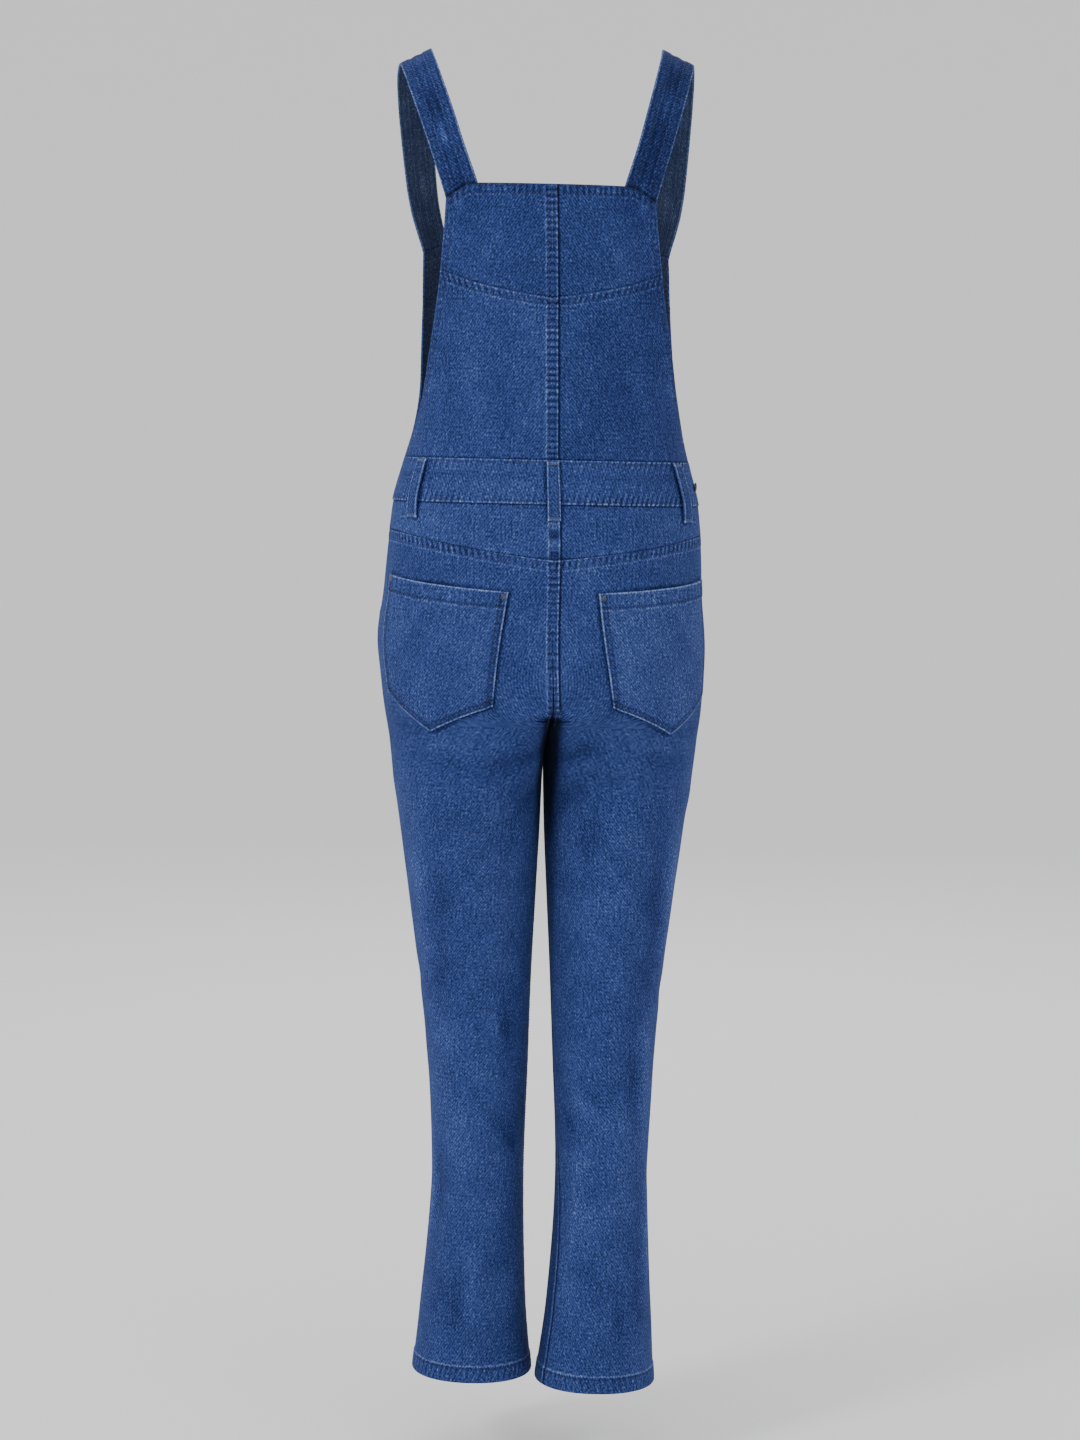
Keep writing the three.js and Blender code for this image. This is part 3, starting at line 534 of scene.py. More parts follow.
class Panel:
    """A grid of points on a panel of cloth, with each point's distance in millimetres from its edges.

    at(u, z) gives the surface. top and bottom are functions of u. rows are marks down the panel.
    hidden, a function of the heights and of the surface's distances there, moves the first lines further in.
    """

    SAMPLES = 129

    def __init__(self, at, top, bottom, rows, wide, spacing, near=(), far=(), hidden=None):
        us = np.linspace(0, 1, self.SAMPLES)
        highest, lowest = float(np.max(top(us))), float(np.min(bottom(us)))
        zs = np.linspace(highest, lowest, self.SAMPLES)
        steps = np.linalg.norm(np.diff(at(us[None, :], zs[:, None]), axis=1), axis=2)
        run = np.concatenate([np.zeros((len(zs), 1)), np.cumsum(steps, axis=1)], axis=1)
        back = np.array([np.interp(us, row / row[-1], us) for row in run])
        fixed, follow = marks(wide, spacing, near, far)
        first = fixed / wide + follow
        u = look(back, np.full(first.shape, 0.5), first)
        high, low = top(u), bottom(u)
        down, share = rows[0][:, None], rows[1][:, None]
        self.z = mix(high, low, share) - down
        place = (highest - self.z) / (highest - lowest)
        width = look(run, place, np.ones(place.shape))
        skip = np.zeros(place.shape)
        if hidden:
            skip = np.interp(-self.z, -zs, [hidden(z, us, row) for z, row in zip(zs, run)])
        start = look(back, place, (max(near, default=0) + skip) / width)
        end = look(back, place, 1 - max(far, default=0) / width)
        edge = look(back, place, (fixed + skip * ((fixed > 0) & (follow == 0))) / width + follow)
        middle = (follow > 0) & (follow < 1)
        self.u = np.where(middle, mix(start, end, follow), edge)
        self.points = at(self.u, self.z)
        self.left = look(run, place, self.u)
        self.right = width - self.left
        self.top = high - self.z
        self.bottom = self.z - low
        self.down = -self.z


class LegPanel(Panel):
    """A leg's panel: its rows fan out from the top seam to the level line, and are level below it."""

    def __init__(self, at, top, rows, *grid, hidden=None):
        fan, levels = rows
        down = (LEVEL - levels) / (LEVEL - HEM)
        super().__init__(at, flat(LEVEL), flat(HEM), (np.zeros(len(levels)), down), *grid, hidden)
        lower = {name: getattr(self, name) for name in ("u", "z", "points", "left", "right")}
        super().__init__(at, top, flat(LEVEL), fan, *grid)
        for name, rest in lower.items():
            setattr(self, name, np.concatenate([getattr(self, name), rest]))
        self.top, self.down, self.hem = top(self.u) - self.z, -self.z, self.z - HEM


def leg_rows(near, seat_spacing):
    """Rows of a leg: fixed distances below the top seam, a fan down to the level line, then level rows."""
    share = np.arange(1, 13) / 13
    fixed = np.concatenate([[0, *near], near[-1] * (1 - share)])
    fan = fixed, np.concatenate([np.zeros(len(near) + 1), share])
    count = round((LEGS_WHOLE - HEM - HEM_DEPTH - STEP) / PLAIN)
    levels = [
        np.arange(LEVEL, CROTCH + 8, -seat_spacing),
        CROTCH + np.array(CROTCH_ROWS),
        np.linspace(CROTCH - 2, LEGS_WHOLE, 30),
        np.linspace(LEGS_WHOLE, HEM + HEM_DEPTH + 4, count)[1:],
        HEM + HEM_DEPTH + np.array(HEM_ROWS),
    ]
    return fan, np.concatenate(levels)


def put(name, data):
    """A new object of the scene that shows some data."""
    made = bpy.data.objects.new(name, data)
    bpy.context.scene.collection.objects.link(made)
    return made


def aim(made, place, ahead, axis):
    made.location = place
    made.rotation_mode = "QUATERNION"
    made.rotation_quaternion = ahead.to_track_quat(axis, "Y")


def mesh_object(name, points, quads, *materials):
    """A mesh object from points in millimetres and rows of four corner numbers."""
    mesh = bpy.data.meshes.new(name)
    mesh.vertices.add(len(points))
    mesh.vertices.foreach_set("co", (points * MM).astype(np.float32).ravel())
    mesh.loops.add(quads.size)
    mesh.loops.foreach_set("vertex_index", quads.astype(np.int32).ravel())
    mesh.polygons.add(len(quads))
    mesh.polygons.foreach_set("loop_start", np.arange(0, quads.size, 4, dtype=np.int32))
    mesh.update(calc_edges=True)
    mesh.shade_smooth()
    for material in materials:
        mesh.materials.append(material)
    return put(name, mesh)


def turned(name, profile, segments, material):
    """A smooth form turned round the upright axis from radii and heights, closed where it meets the axis."""
    turn = np.arange(segments) * 2 * math.pi / segments
    pairs = [(i, (i + 1) % segments) for i in range(segments)]
    rings = [row for row in profile if row[0] > 0]
    last = (len(rings) - 1) * segments
    points = [(radius * math.cos(a), radius * math.sin(a), height) for radius, height in rings for a in turn]
    steps = range(0, last, segments)
    faces = [(j + i, j + k, j + segments + k, j + segments + i) for j in steps for i, k in pairs]
    if profile[0][0] == 0:
        faces += [(len(points), k, i) for i, k in pairs]
        points.append((0, 0, profile[0][1]))
    if profile[-1][0] == 0:
        faces += [(len(points), last + i, last + k) for i, k in pairs]
        points.append((0, 0, profile[-1][1]))
    mesh = bpy.data.meshes.new(name)
    mesh.from_pydata(points, [], faces)
    mesh.shade_smooth()
    mesh.materials.append(material)
    return put(name, mesh)


def normals_of(points):
    """The grid's unit normals, turned away from the garment's middle, and whether they had to be."""
    normal = np.cross(np.gradient(points, axis=1), np.gradient(points, axis=0))
    normal /= np.maximum(np.linalg.norm(normal, axis=2, keepdims=True), 1e-12)
    middle = points.shape[0] // 2, points.shape[1] // 2
    away = np.dot(normal[middle][:2], points[middle][:2]) > 0
    return normal * (1.0 if away else -1.0), not away


def shell_quads(tall, wide):
    """Corners of a closed shell over two grids of points: outer faces, inner faces, then the rim."""
    a = (np.arange(tall - 1)[:, None] * wide + np.arange(wide - 1)[None, :]).ravel()
    layer = tall * wide
    top = np.arange(wide - 1)
    end = top + (tall - 1) * wide
    left = np.arange(tall - 1) * wide
    right = left + wide - 1
    return [np.stack(corners, 1) for corners in (
        (a, a + 1, a + wide + 1, a + wide),
        (a + layer, a + wide + layer, a + wide + 1 + layer, a + 1 + layer),
        (top + 1, top, layer + top, layer + top + 1),
        (end, end + 1, layer + end + 1, layer + end),
        (left, left + wide, layer + left + wide, layer + left),
        (right + wide, right, layer + right, layer + right + wide),
    )]


# One stitch: how far its five stations are along it, how high and how wide it is there.
THREAD_ALONG = np.array([-1, -0.55, 0, 0.55, 1])
THREAD_HIGH = np.array([-0.35, 0.75, 1.0, 0.75, -0.35])
THREAD_WIDE = np.array([0.45, 0.9, 1.0, 0.9, 0.45])
THREAD_QUADS = np.array([(k, k + 1, k + 4, k + 3) for s in range(4) for k in (3 * s, 3 * s + 1)])


def stitches(name, lines, pitch, long, wide, material):
    """One mesh of short raised threads along lines of points with their normals."""
    height = np.full((5, 3), STITCH_SUNK)
    height[:, 1] = STITCH_HIGH * THREAD_HIGH
    spread = np.outer(THREAD_WIDE, (-1, 0, 1)) * wide / 2
    blocks = []
    for line in lines:
        run = arc(line[:, :3])
        if len(line) < 2 or run[-1] < long:
            continue
        count = max(1, int(run[-1] / pitch))
        middles = (np.arange(count) + 0.5) * run[-1] / count

        def at(s, first=0):
            return np.stack([np.interp(s, run, line[:, first + k]) for k in range(3)], -1)

        ahead = at(middles + 0.5) - at(middles - 0.5)
        ahead /= np.maximum(np.linalg.norm(ahead, axis=1, keepdims=True), 1e-9)
        up = at(middles, 3)
        up /= np.linalg.norm(up, axis=1, keepdims=True)
        spine = at(middles)[:, None] + ahead[:, None] * (THREAD_ALONG * long / 2)[:, None]
        across = np.cross(ahead, up)[:, None, None] * spread[..., None]
        blocks.append((spine[:, :, None] + across + up[:, None, None] * height[..., None]).reshape(-1, 3))
    points = np.concatenate(blocks)
    quads = THREAD_QUADS[None] + np.arange(0, len(points), 15)[:, None, None]
    return mesh_object(name, points, quads.reshape(-1, 4), material)


class Cloth:
    """A piece of cloth: what sewing does to its outer face, then its mesh and the stitches on it.

    relief raises the outer face, shift and lift move the whole cloth, and wear lightens or darkens its
    colour, for real wear and for painted light and shade.
    """

    def __init__(self, node, panel, base=0.0):
        self.node, self.panel, self.rows = node, panel, []
        self.relief = np.full(panel.points.shape[:2], float(base))
        self.shift, self.lift, self.wear_and_shade = np.zeros((3, *self.relief.shape))

    def line(self, distance, at, wide, light):
        """A line painted lighter, or darker if light is negative, at a distance from an edge, for worn cloth
        and for painted shade.
        """
        self.wear_and_shade += light * bell((distance - at) / wide)

    def ladder(self, gather, mask, rope, shade):
        """Gathers of the cloth itself: crests worn, troughs darker."""
        self.shift += rope * gather * mask
        self.wear_and_shade += shade * mask * (0.9 * np.clip(gather, 0, 1) - 1.7 * np.clip(-gather, 0, 1) ** 1.3)

    def band(self, distance, run, depth, high, rope, shade, pitch, seed, slant=0.0, light=1.2):
        """A turned or felled band along an edge, roped by its stitching."""
        on = inside(distance, depth)
        self.relief = np.maximum(self.relief, high * on)
        belly = np.sin(math.pi * np.clip(distance / depth, 0, 1)) ** 0.6 * on
        tail = 0.3 * bell((distance - depth - 2) / 3.5) * (1 - on)
        self.ladder(gathers(run + slant * distance, pitch, seed), belly + tail, rope, shade)
        self.line(distance, depth + 0.8, 0.8, light)

    def fold(self, distance, light=1.8, at=0.9, drop=0.35):
        """A folded edge: rounded, and worn lighter."""
        self.relief -= drop * np.clip(1 - distance / 0.7, 0, 1) ** 2
        self.line(distance, at, 0.8, light)

    def seam(self, distance, dark):
        """Where the cloth dives under its neighbour's fold, with a painted shadow along the seam."""
        self.relief -= 0.4 * np.clip(1 - distance / 0.7, 0, 1) ** 2
        self.line(distance, 0, 1.2, -dark)

    def pull(self, distance, run, reach, rope, shade, pitch, seed):
        """Short gathers that a row of stitches pulls into the cloth beside it."""
        self.ladder(gathers(run, pitch, seed), bell(distance / reach), rope, shade)

    def holes(self, distance, rows, dark):
        """The shade of the needle holes along rows of stitches."""
        for row in rows:
            self.relief -= 0.12 * bell((distance - row) / 0.7)
            self.line(distance, row, 0.8, -dark)

    def sew(self, distance, rows, dark=0, axis=0, start=0, end=0, kind=STITCH):
        """Rows of stitches at distances from an edge: across the cloth for axis 0, down it for axis 1."""
        if dark:
            self.holes(distance, rows, dark)
        self.rows += [(kind, distance, row, axis, start, end) for row in rows]

    def crease(self, place, side, angle, wear_and_shade=0.0):
        """The slow unevenness of the cloth and the listed creases; the last argument paints light on what
        they raise and shade in what they sink.
        """
        rows, radius, high, uneven = place
        lift = high * creases(rows, radius, side, angle, -self.panel.down)
        self.lift = (uneven * ripple(self.panel.points) + lift) * inwards(angle)
        self.wear_and_shade += wear_and_shade * self.lift

    def line_at(self, distance, at, axis, start, end):
        """The line on the outer face where a distance passes a value, with the normals there.

        start and end cut it there. A negative end counts from the line's start.
        """
        both = np.concatenate([self.face, self.normal], 2)
        if axis:
            distance, both = distance.T, both.transpose(1, 0, 2)
        line = []
        for i in range(distance.shape[1]):
            order = np.argsort(distance[:, i])
            column = distance[order, i]
            if column[0] <= at <= column[-1]:
                line.append([np.interp(at, column, both[order, i, k]) for k in range(6)])
        line = np.array(line).reshape(-1, 6)
        if len(line) < 2:
            return line
        run = arc(line[:, :3])
        return line[(run >= start) & (run <= (run[-1] - end if end >= 0 else -end))]

    def make(self, inner=-WALL):
        panel, points = self.panel, self.panel.points
        self.normal, turned_over = normals_of(points)
        self.face = points + self.normal * (self.relief + self.shift + self.lift)[..., None]
        back = points + self.normal * (inner + INSIDE_SHIFT * self.shift + self.lift)[..., None]
        outer, inside_faces, *rim = shell_quads(*self.relief.shape)
        quads = np.concatenate([outer, inside_faces, *rim])[:, ::-1 if turned_over else 1]
        both = np.concatenate([self.face.reshape(-1, 3), back.reshape(-1, 3)])
        piece = mesh_object("cloth_" + self.node, both, quads, DENIM, DENIM_BACK_SHADED)
        mesh = piece.data
        slots = np.zeros(len(quads), np.int32)
        slots[len(outer):2 * len(outer)] = 1
        mesh.polygons.foreach_set("material_index", slots)
        mesh.set_sharp_from_angle(angle=SHARP)
        uv = np.stack([np.tile(panel.left.ravel(), 2), np.tile(panel.down.ravel(), 2)], 1)[quads.ravel()] * MM
        mesh.uv_layers.new(name="cloth").data.foreach_set("uv", uv.astype(np.float32).ravel())
        wear_and_shade = self.wear_and_shade.ravel() + PIECE_TONE_AND_SHADE.get(self.node, 0)
        wear_and_shade = np.concatenate([wear_and_shade, INSIDE_WEAR_AND_SHADE * wear_and_shade]).astype(np.float32)
        mesh.attributes.new("wear_and_shade", "FLOAT", "POINT").data.foreach_set("value", wear_and_shade)
        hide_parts(self.node)
        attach(piece, "root")
        for kind, material in ((STITCH, THREAD), (TACK, TACK_THREAD)):
            lines = [self.line_at(*row) for row_kind, *row in self.rows if row_kind is kind]
            if lines:
                made = stitches(kind[0] + self.node, lines, *kind[1:], material)
                made.parent = piece
        width = float(np.max(np.ptp(panel.left, axis=1))) * MM
        length = float(np.max(np.ptp(panel.down, axis=0))) * MM


def side_name(side):
    return "right" if side > 0 else "left"


def side_of(u):
    return np.where(u < 0.5, -1, 1)


def gap_angle(reach):
    return math.degrees(EDGE / reach)


def loop_shade(side, angle, z):
    """The shade beside the belt loops on the cloth that they cross."""
    x, y = trunk_plan(angle, z)
    within = below(LOOP_TOP + 3, LOOP_TOP - 3, z) * (1 - below(LOOP_BOTTOM + 3, LOOP_BOTTOM - 3, z))
    total = np.zeros(np.broadcast(side, angle, z).shape)
    for _, loop_side, at in LOOPS:
        loop_x, loop_y = trunk_plan(at, z)
        off = np.hypot(side * x - loop_side * loop_x, y - loop_y) - LOOP_WIDE / 2
        total -= bell((off - 0.5) / 1.6) * within
    return total


def back_top(u):
    return BACK_TOP - BACK_TOP_DROP * smooth(BACK_TOP_LEVEL, 1, u) * u


def front_top(u):
    return FRONT_TOP - FRONT_TOP_DROP * smooth(FRONT_TOP_LEVEL, 1, u) * u


def v_seam(u):
    return V_CENTRE + V_RISE * u


def centre_fell(cloth, side, distance, sewn, share=1.0, start=0):
    """The felled seam down the middle of the back, folded towards the wearer's right."""
    cloth.relief = np.maximum(cloth.relief, TURNED * share * inside(distance, FELL_HALF))
    mask = share * np.clip(1 - (distance - FELL_HALF + 1) / 2, 0, 1)
    cloth.ladder(gathers(cloth.panel.down, 6.6, 2.0), mask, 0.26, 2.2)
    cloth.holes(distance, [FELL_ROW[side]], 1.2 * share)
    cloth.sew(sewn, [FELL_ROW[side]], axis=1, start=start)
    # On the right half, a groove at the fold with a painted shadow in it, and the fold's worn edge; on the
    # left half, only a worn edge.
    if side > 0:
        cloth.relief -= 0.5 * share * np.clip(1 - np.abs(distance - 6.2) / 0.9, 0, 1)
        cloth.line(distance, 6.5, 1.0, -6.5 * share)
        cloth.line(distance, 4.8, 0.8, 4.2 * share)
    else:
        cloth.line(distance, 6.3, 0.9, 2.6 * share)


def back_bib(side, upper):
    """Half of the back bib, above or below the V seam."""
    centre = 90 - math.degrees(SEAM / (2 * BACK_BIB_WIDE))
    seed = 3.0 * side + (0.7 if upper else 1.9)

    def angle_at(u, z):
        return -mix(centre, np.maximum(along(BACK_ARMHOLE, "angle", z), gap_angle(BIB_REACH)), u)

    def at(u, z):
        return half_trunk(side, angle_at(u, z), z)

    depth, height = (TOP_HEM, BACK_TOP - V_CENTRE) if upper else (SEAM_BAND, V_CENTRE - WAIST_TOP)
    top, bottom = lambda u: v_seam(u) - EDGE, flat(WAIST_TOP + EDGE)
    if upper:
        top, bottom = back_top, lambda u: v_seam(u) + EDGE
    rows = marks(height, FINE, band_lines(depth), EDGE_LINES)
    panel = Panel(at, top, bottom, rows, BACK_BIB_WIDE, FINE, FELL_LINES, band_lines(ARMHOLE_HEM))
    cloth = Cloth("back_bib_" + ("upper_" if upper else "lower_") + side_name(side), panel)
    if upper:
        cloth.band(panel.top, panel.left, TOP_HEM, TURNED, 0.3, 2.0, 6.3, seed)
        cloth.fold(panel.top, 1.2)
        # Painted shade along the top edge.
        cloth.line(panel.top, 0, 0.8, -2.0)
        cloth.sew(panel.top, TOP_ROWS, 1.4, end=2)
        cloth.seam(panel.bottom, 2.2)
    else:
        cloth.band(panel.top, panel.left, SEAM_BAND, TURNED, 0.34, 2.4, 6.6, seed, 0.4, 1.8)
        cloth.fold(panel.top, 2.0, 1.2)
        cloth.sew(panel.top, V_ROWS, 1.4, end=2)
        cloth.seam(panel.bottom, 4.0)
        cloth.pull(panel.bottom, panel.left, 7, 0.12, 0.7, 7, seed)
    cloth.band(panel.right, panel.down, ARMHOLE_HEM, TURNED, 0.14, 1.0, 7.2, seed + 1, light=1.0)
    cloth.fold(panel.right, 2.0)
    cloth.sew(panel.right, ARMHOLE_ROWS, 1.4, axis=1)
    centre_fell(cloth, side, panel.left, panel.left)
    cloth.crease(ON_TRUNK, side, angle_at(panel.u, panel.z), 0.55)
    cloth.make()


def front_bib(upper):
    """The front bib, or the separate band along its top."""

    def angle_at(u, z):
        return mix(90, np.maximum(along(FRONT_ARMHOLE, "angle", z), gap_angle(BIB_REACH)), np.abs(2 * u - 1))

    def at(u, z):
        return trunk(side_of(u), angle_at(u, z), z)

    depth, height = (TOP_HEM, FRONT_TOP - FRONT_BAND) if upper else (SEAM_BAND, FRONT_BAND - WAIST_TOP)
    top, bottom = flat(FRONT_BAND - EDGE), flat(WAIST_TOP + EDGE)
    if upper:
        top, bottom = lambda u: front_top(np.abs(2 * u - 1)), flat(FRONT_BAND + EDGE)
    rows, hem = marks(height, FRONT_ROWS, band_lines(depth), EDGE_LINES), band_lines(ARMHOLE_HEM)
    panel = Panel(at, top, bottom, rows, FRONT_BIB_WIDE, FRONT_COLUMNS, hem, hem)
    cloth = Cloth("front_bib_band" if upper else "front_bib", panel)
    cloth.band(panel.top, panel.left, depth, TURNED, 0.3, 1.1, 6.4, 5.0 + upper)
    cloth.fold(panel.top, 1.4)
    cloth.sew(panel.top, (2.0, depth - 1.6), 0.9)
    cloth.seam(panel.bottom, 2.0)
    for distance, seed in ((panel.left, 1.0), (panel.right, 4.0)):
        cloth.band(distance, panel.down, ARMHOLE_HEM, TURNED, 0.14, 0.6, 7.2, seed, light=0.7)
        cloth.fold(distance, 1.6)
        cloth.sew(distance, ARMHOLE_ROWS, 0.9, axis=1)
    cloth.crease(ON_TRUNK, side_of(panel.u), angle_at(panel.u, panel.z))
    cloth.make()


def strap_line(v):
    """The strap's middle line: a centripetal Catmull-Rom curve through its rows."""
    rows = np.stack([STRAP["x"], STRAP["y"], STRAP["z"]], 1)
    ends = np.concatenate([[2 * rows[0] - rows[1]], rows, [2 * rows[-1] - rows[-2]]])
    place = np.clip(v, 0, 1) * (len(rows) - 1)
    i = np.minimum(place.astype(int), len(rows) - 2)
    w = (place - i)[..., None]
    a, b, c, d = (ends[i + k] for k in range(4))
    gaps = (b - a, c - b, d - c)
    before, here, after = (np.sqrt(np.linalg.norm(gap, axis=-1))[..., None] for gap in gaps)
    leave = ((b - a) / before - (c - a) / (before + here) + (c - b) / here) * here
    reach = ((c - b) / here - (d - b) / (here + after) + (d - c) / after) * here
    square = -3 * b + 3 * c - 2 * leave - reach
    cube = 2 * b - 2 * c + leave + reach
    return b + leave * w + square * w**2 + cube * w**3


def angle_away(angle, target, z, distance):
    """The angle round the trunk that lies a distance from another one, towards its target."""
    start = trunk(1, angle, z)
    near, far = 0.0, 1.0
    for _ in range(HALVINGS):
        middle = (near + far) / 2
        if np.linalg.norm(trunk(1, mix(angle, target, middle), z) - start) < distance:
            near = middle
        else:
            far = middle
    return mix(angle, target, near)


def strap_seat(side, face, u):
    """The bib's top edge under a strap's end: u is 0 at the strap's inner edge, 1 at the armhole."""
    top = back_top if face < 0 else front_top
    edge = float(along(BACK_ARMHOLE if face < 0 else FRONT_ARMHOLE, "angle", top(1.0)))
    angle = mix(angle_away(edge, 90, float(top(1.0)), STRAP_WIDE), edge, u)
    return trunk(side, face * angle, top((90 - angle) / (90 - edge)) - STRAP_UNDER)


def unit(vectors):
    return vectors / np.linalg.norm(vectors, axis=-1, keepdims=True)


def strap_run(side, u, v):
    """The strap as it runs by itself, at share u of its width and v of its length."""
    index = np.arange(len(STRAP["x"]))
    place = v * index[-1]
    turn_x, turn_y = ray(np.interp(place, index, STRAP["turn"]))
    level, drop = ray(np.interp(place, index, STRAP["drop"]))
    run = unit(strap_line(np.minimum(v + 1e-4, 1)) - strap_line(np.maximum(v - 1e-4, 0)))
    across = np.stack([turn_x * level, turn_y * level, -drop], -1)
    across = unit(across - run * np.sum(across * run, -1, keepdims=True))
    at = strap_line(v) + across * ((u - 0.5) * STRAP_WIDE)[..., None]
    return stand(at[..., 0], at[..., 1], at[..., 2], side)


def strap(side):
    u, v = np.meshgrid(both_ways(STRAP_LINES), np.linspace(0, 1, STRAP_ROWS))
    points = strap_run(side, u, v)
    for end, face in ((0, -1), (1, 1)):
        shift = strap_seat(side, face, u) - strap_run(side, u, np.full(u.shape, float(end)))
        points = points + shift * (1 - smooth(0, STRAP_SEATED, np.abs(v - end)))[..., None]
    run = arc(points[:, len(STRAP_LINES) - 1])
    down = np.broadcast_to(run[:, None], u.shape)
    across = u * STRAP_WIDE
    edge = np.minimum(across, STRAP_WIDE - across)
    cloth = Cloth("strap_" + side_name(side), Strip(points, across, down), STRAP_THICK / 2 - STRAP_HOLLOW)
    cloth.band(edge, down, STRAP_BAND, STRAP_THICK / 2, 0.1, 0.35, 8, side, light=1.5)
    cloth.fold(edge, 4.5, 0.6)
    cloth.holes(edge, STRAP_SEWN, 2.0)
    cloth.sew(across, STRAP_SEWN, axis=1)
    cloth.sew(STRAP_WIDE - across, STRAP_SEWN, axis=1)
    middle = (across - STRAP_WIDE / 2) / 3.4
    ridge = bell(middle) * (0.55 + 0.45 * np.sin(down / 23 + side))
    beside = np.exp(-((np.abs(middle) - 1.5) ** 2) * 2.2)
    cloth.shift += 0.5 * ridge - 0.35 * beside
    # Painted light on the middle ridge and painted shade in the troughs beside it, with darker, uneven
    # blotches down the middle.
    blotch = np.sin(down / 15 + 2 * side) + 0.7 * np.sin(down / 7.3 + 1.3 * np.sin(down / 29) + side)
    cloth.wear_and_shade += 0.7 * ridge - 1.2 * beside + (0.9 * blotch - 0.6) * np.exp(-middle * middle / 5)
    # Painted shadow where each end runs under the fold of the bib's edge.
    cloth.line(np.minimum(down, run[-1] - down), STRAP_UNDER, 1.6, -3.5)
    cloth.make(-STRAP_THICK / 2)


def waistband(face):
    gap = gap_angle(float(along(TRUNK, "wide", WAIST_BOTTOM)))

    def angle_at(u):
        return face * mix(90, gap, np.abs(2 * u - 1))

    def at(u, z):
        return trunk(side_of(u), angle_at(u), z)

    rows = marks(WAIST_TOP - WAIST_BOTTOM, BAND_ROWS, BAND_LINES, BAND_LINES)
    top, bottom = flat(WAIST_TOP - EDGE), flat(WAIST_BOTTOM + EDGE)
    panel = Panel(at, top, bottom, rows, WAISTBAND_WIDE, BAND_COLUMNS, (0.7,), (0.7,))
    cloth = Cloth("waistband_back" if face < 0 else "waistband_front", panel, BAND_RELIEF)
    rope = 0.18 + 0.14 * smooth(0.5, 0.7, panel.u)
    for distance, fold, reach, more, shade, pitch, seed in (
        (panel.top, 1.9, 9, 1.0, 8, 6.6, 2.0),
        (panel.bottom, 2.2, 11, 1.2, 10, 6.2, 0.4),
    ):
        cloth.fold(distance, fold)
        cloth.sew(distance, [3.0], 1.6)
        cloth.pull(distance, panel.left, reach, more * rope, shade * rope, pitch, seed + face)
    cloth.seam(panel.left, 0.6)
    cloth.seam(panel.right, 0.6)
    # Painted shade of a soft trough across the band, below its top.
    cloth.line(panel.top, 18, 5, -0.7)
    side, angle = side_of(panel.u), angle_at(panel.u)
    cloth.crease(ON_BAND, side, angle)
    cloth.wear_and_shade += 3.0 * loop_shade(side, angle, panel.z)
    cloth.make()


def yoke_seam(angle):
    return YOKE_SIDE - YOKE_DROP * (1 - np.abs(ray(angle)[0]) ** YOKE_CURVE)


def yoke_angle(u):
    return -mix(90 - math.degrees(SEAM / HIP_REACH), gap_angle(HIP_REACH), u)


def yoke(side):
    def at(u, z):
        return half_trunk(side, yoke_angle(u), z)

    def bottom(u):
        return yoke_seam(yoke_angle(u)) + EDGE

    rows = marks(WAIST_BOTTOM - YOKE_SIDE, BAND_ROWS, EDGE_LINES, EDGE_LINES)
    panel = Panel(at, flat(WAIST_BOTTOM - EDGE), bottom, rows, YOKE_WIDE, FINE, FELL_LINES, EDGE_LINES)
    cloth = Cloth("yoke_" + side_name(side), panel)
    cloth.relief += YOKE_RELIEF * below(YOKE_BAND, 0, panel.bottom)
    cloth.seam(panel.top, 4.5)
    cloth.pull(panel.top, panel.left, 6, 0.1, 0.5, 6.5, side)
    # Painted shadow under the fold of the leg's felled seam along the bottom.
    cloth.line(panel.bottom, 0, 0.9, -4.5)
    cloth.seam(panel.right, 1.5)
    centre_fell(cloth, side, panel.left, panel.left)
    angle = yoke_angle(panel.u)
    cloth.crease(ON_TRUNK, side, angle)
    cloth.wear_and_shade += 3.0 * loop_shade(side, angle, panel.z)
    cloth.make()


def seam_direction(u):
    """The direction from a leg's axis to the yoke's own point at column u."""
    angle = yoke_angle(u)
    z = yoke_seam(angle)
    x, y = trunk_plan(angle, z)
    return np.degrees(np.arctan2(y, np.maximum(x, SEAM) - along(LEG, "spread", z)))


def follow_inner(direction, first, inner, u):
    return direction + (inner - first) * (1 - u) ** NEAR_INNER


def leg_hem(cloth, seed):
    """The turned-up hem of a leg, roped by its stitching."""
    hem = cloth.panel.hem
    on = inside(hem, HEM_DEPTH)
    cloth.relief = np.maximum(cloth.relief, HEM_RELIEF * on)
    belly = np.sin(math.pi * np.clip(0.1 + 0.6 * hem / HEM_DEPTH, 0, 1)) * on
    cloth.ladder(gathers(cloth.panel.left + 0.4 * hem, 6.6, seed), belly, 0.34, 1.2)
    cloth.fold(hem, 0.9)
    # Painted shade along the hem's bottom edge.
    cloth.line(hem, 0, 0.8, -2.0)
    cloth.sew(hem, [HEM_DEPTH - 1.5], 2.6)
    cloth.line(hem, HEM_DEPTH + 0.9, 0.9, 3.2)


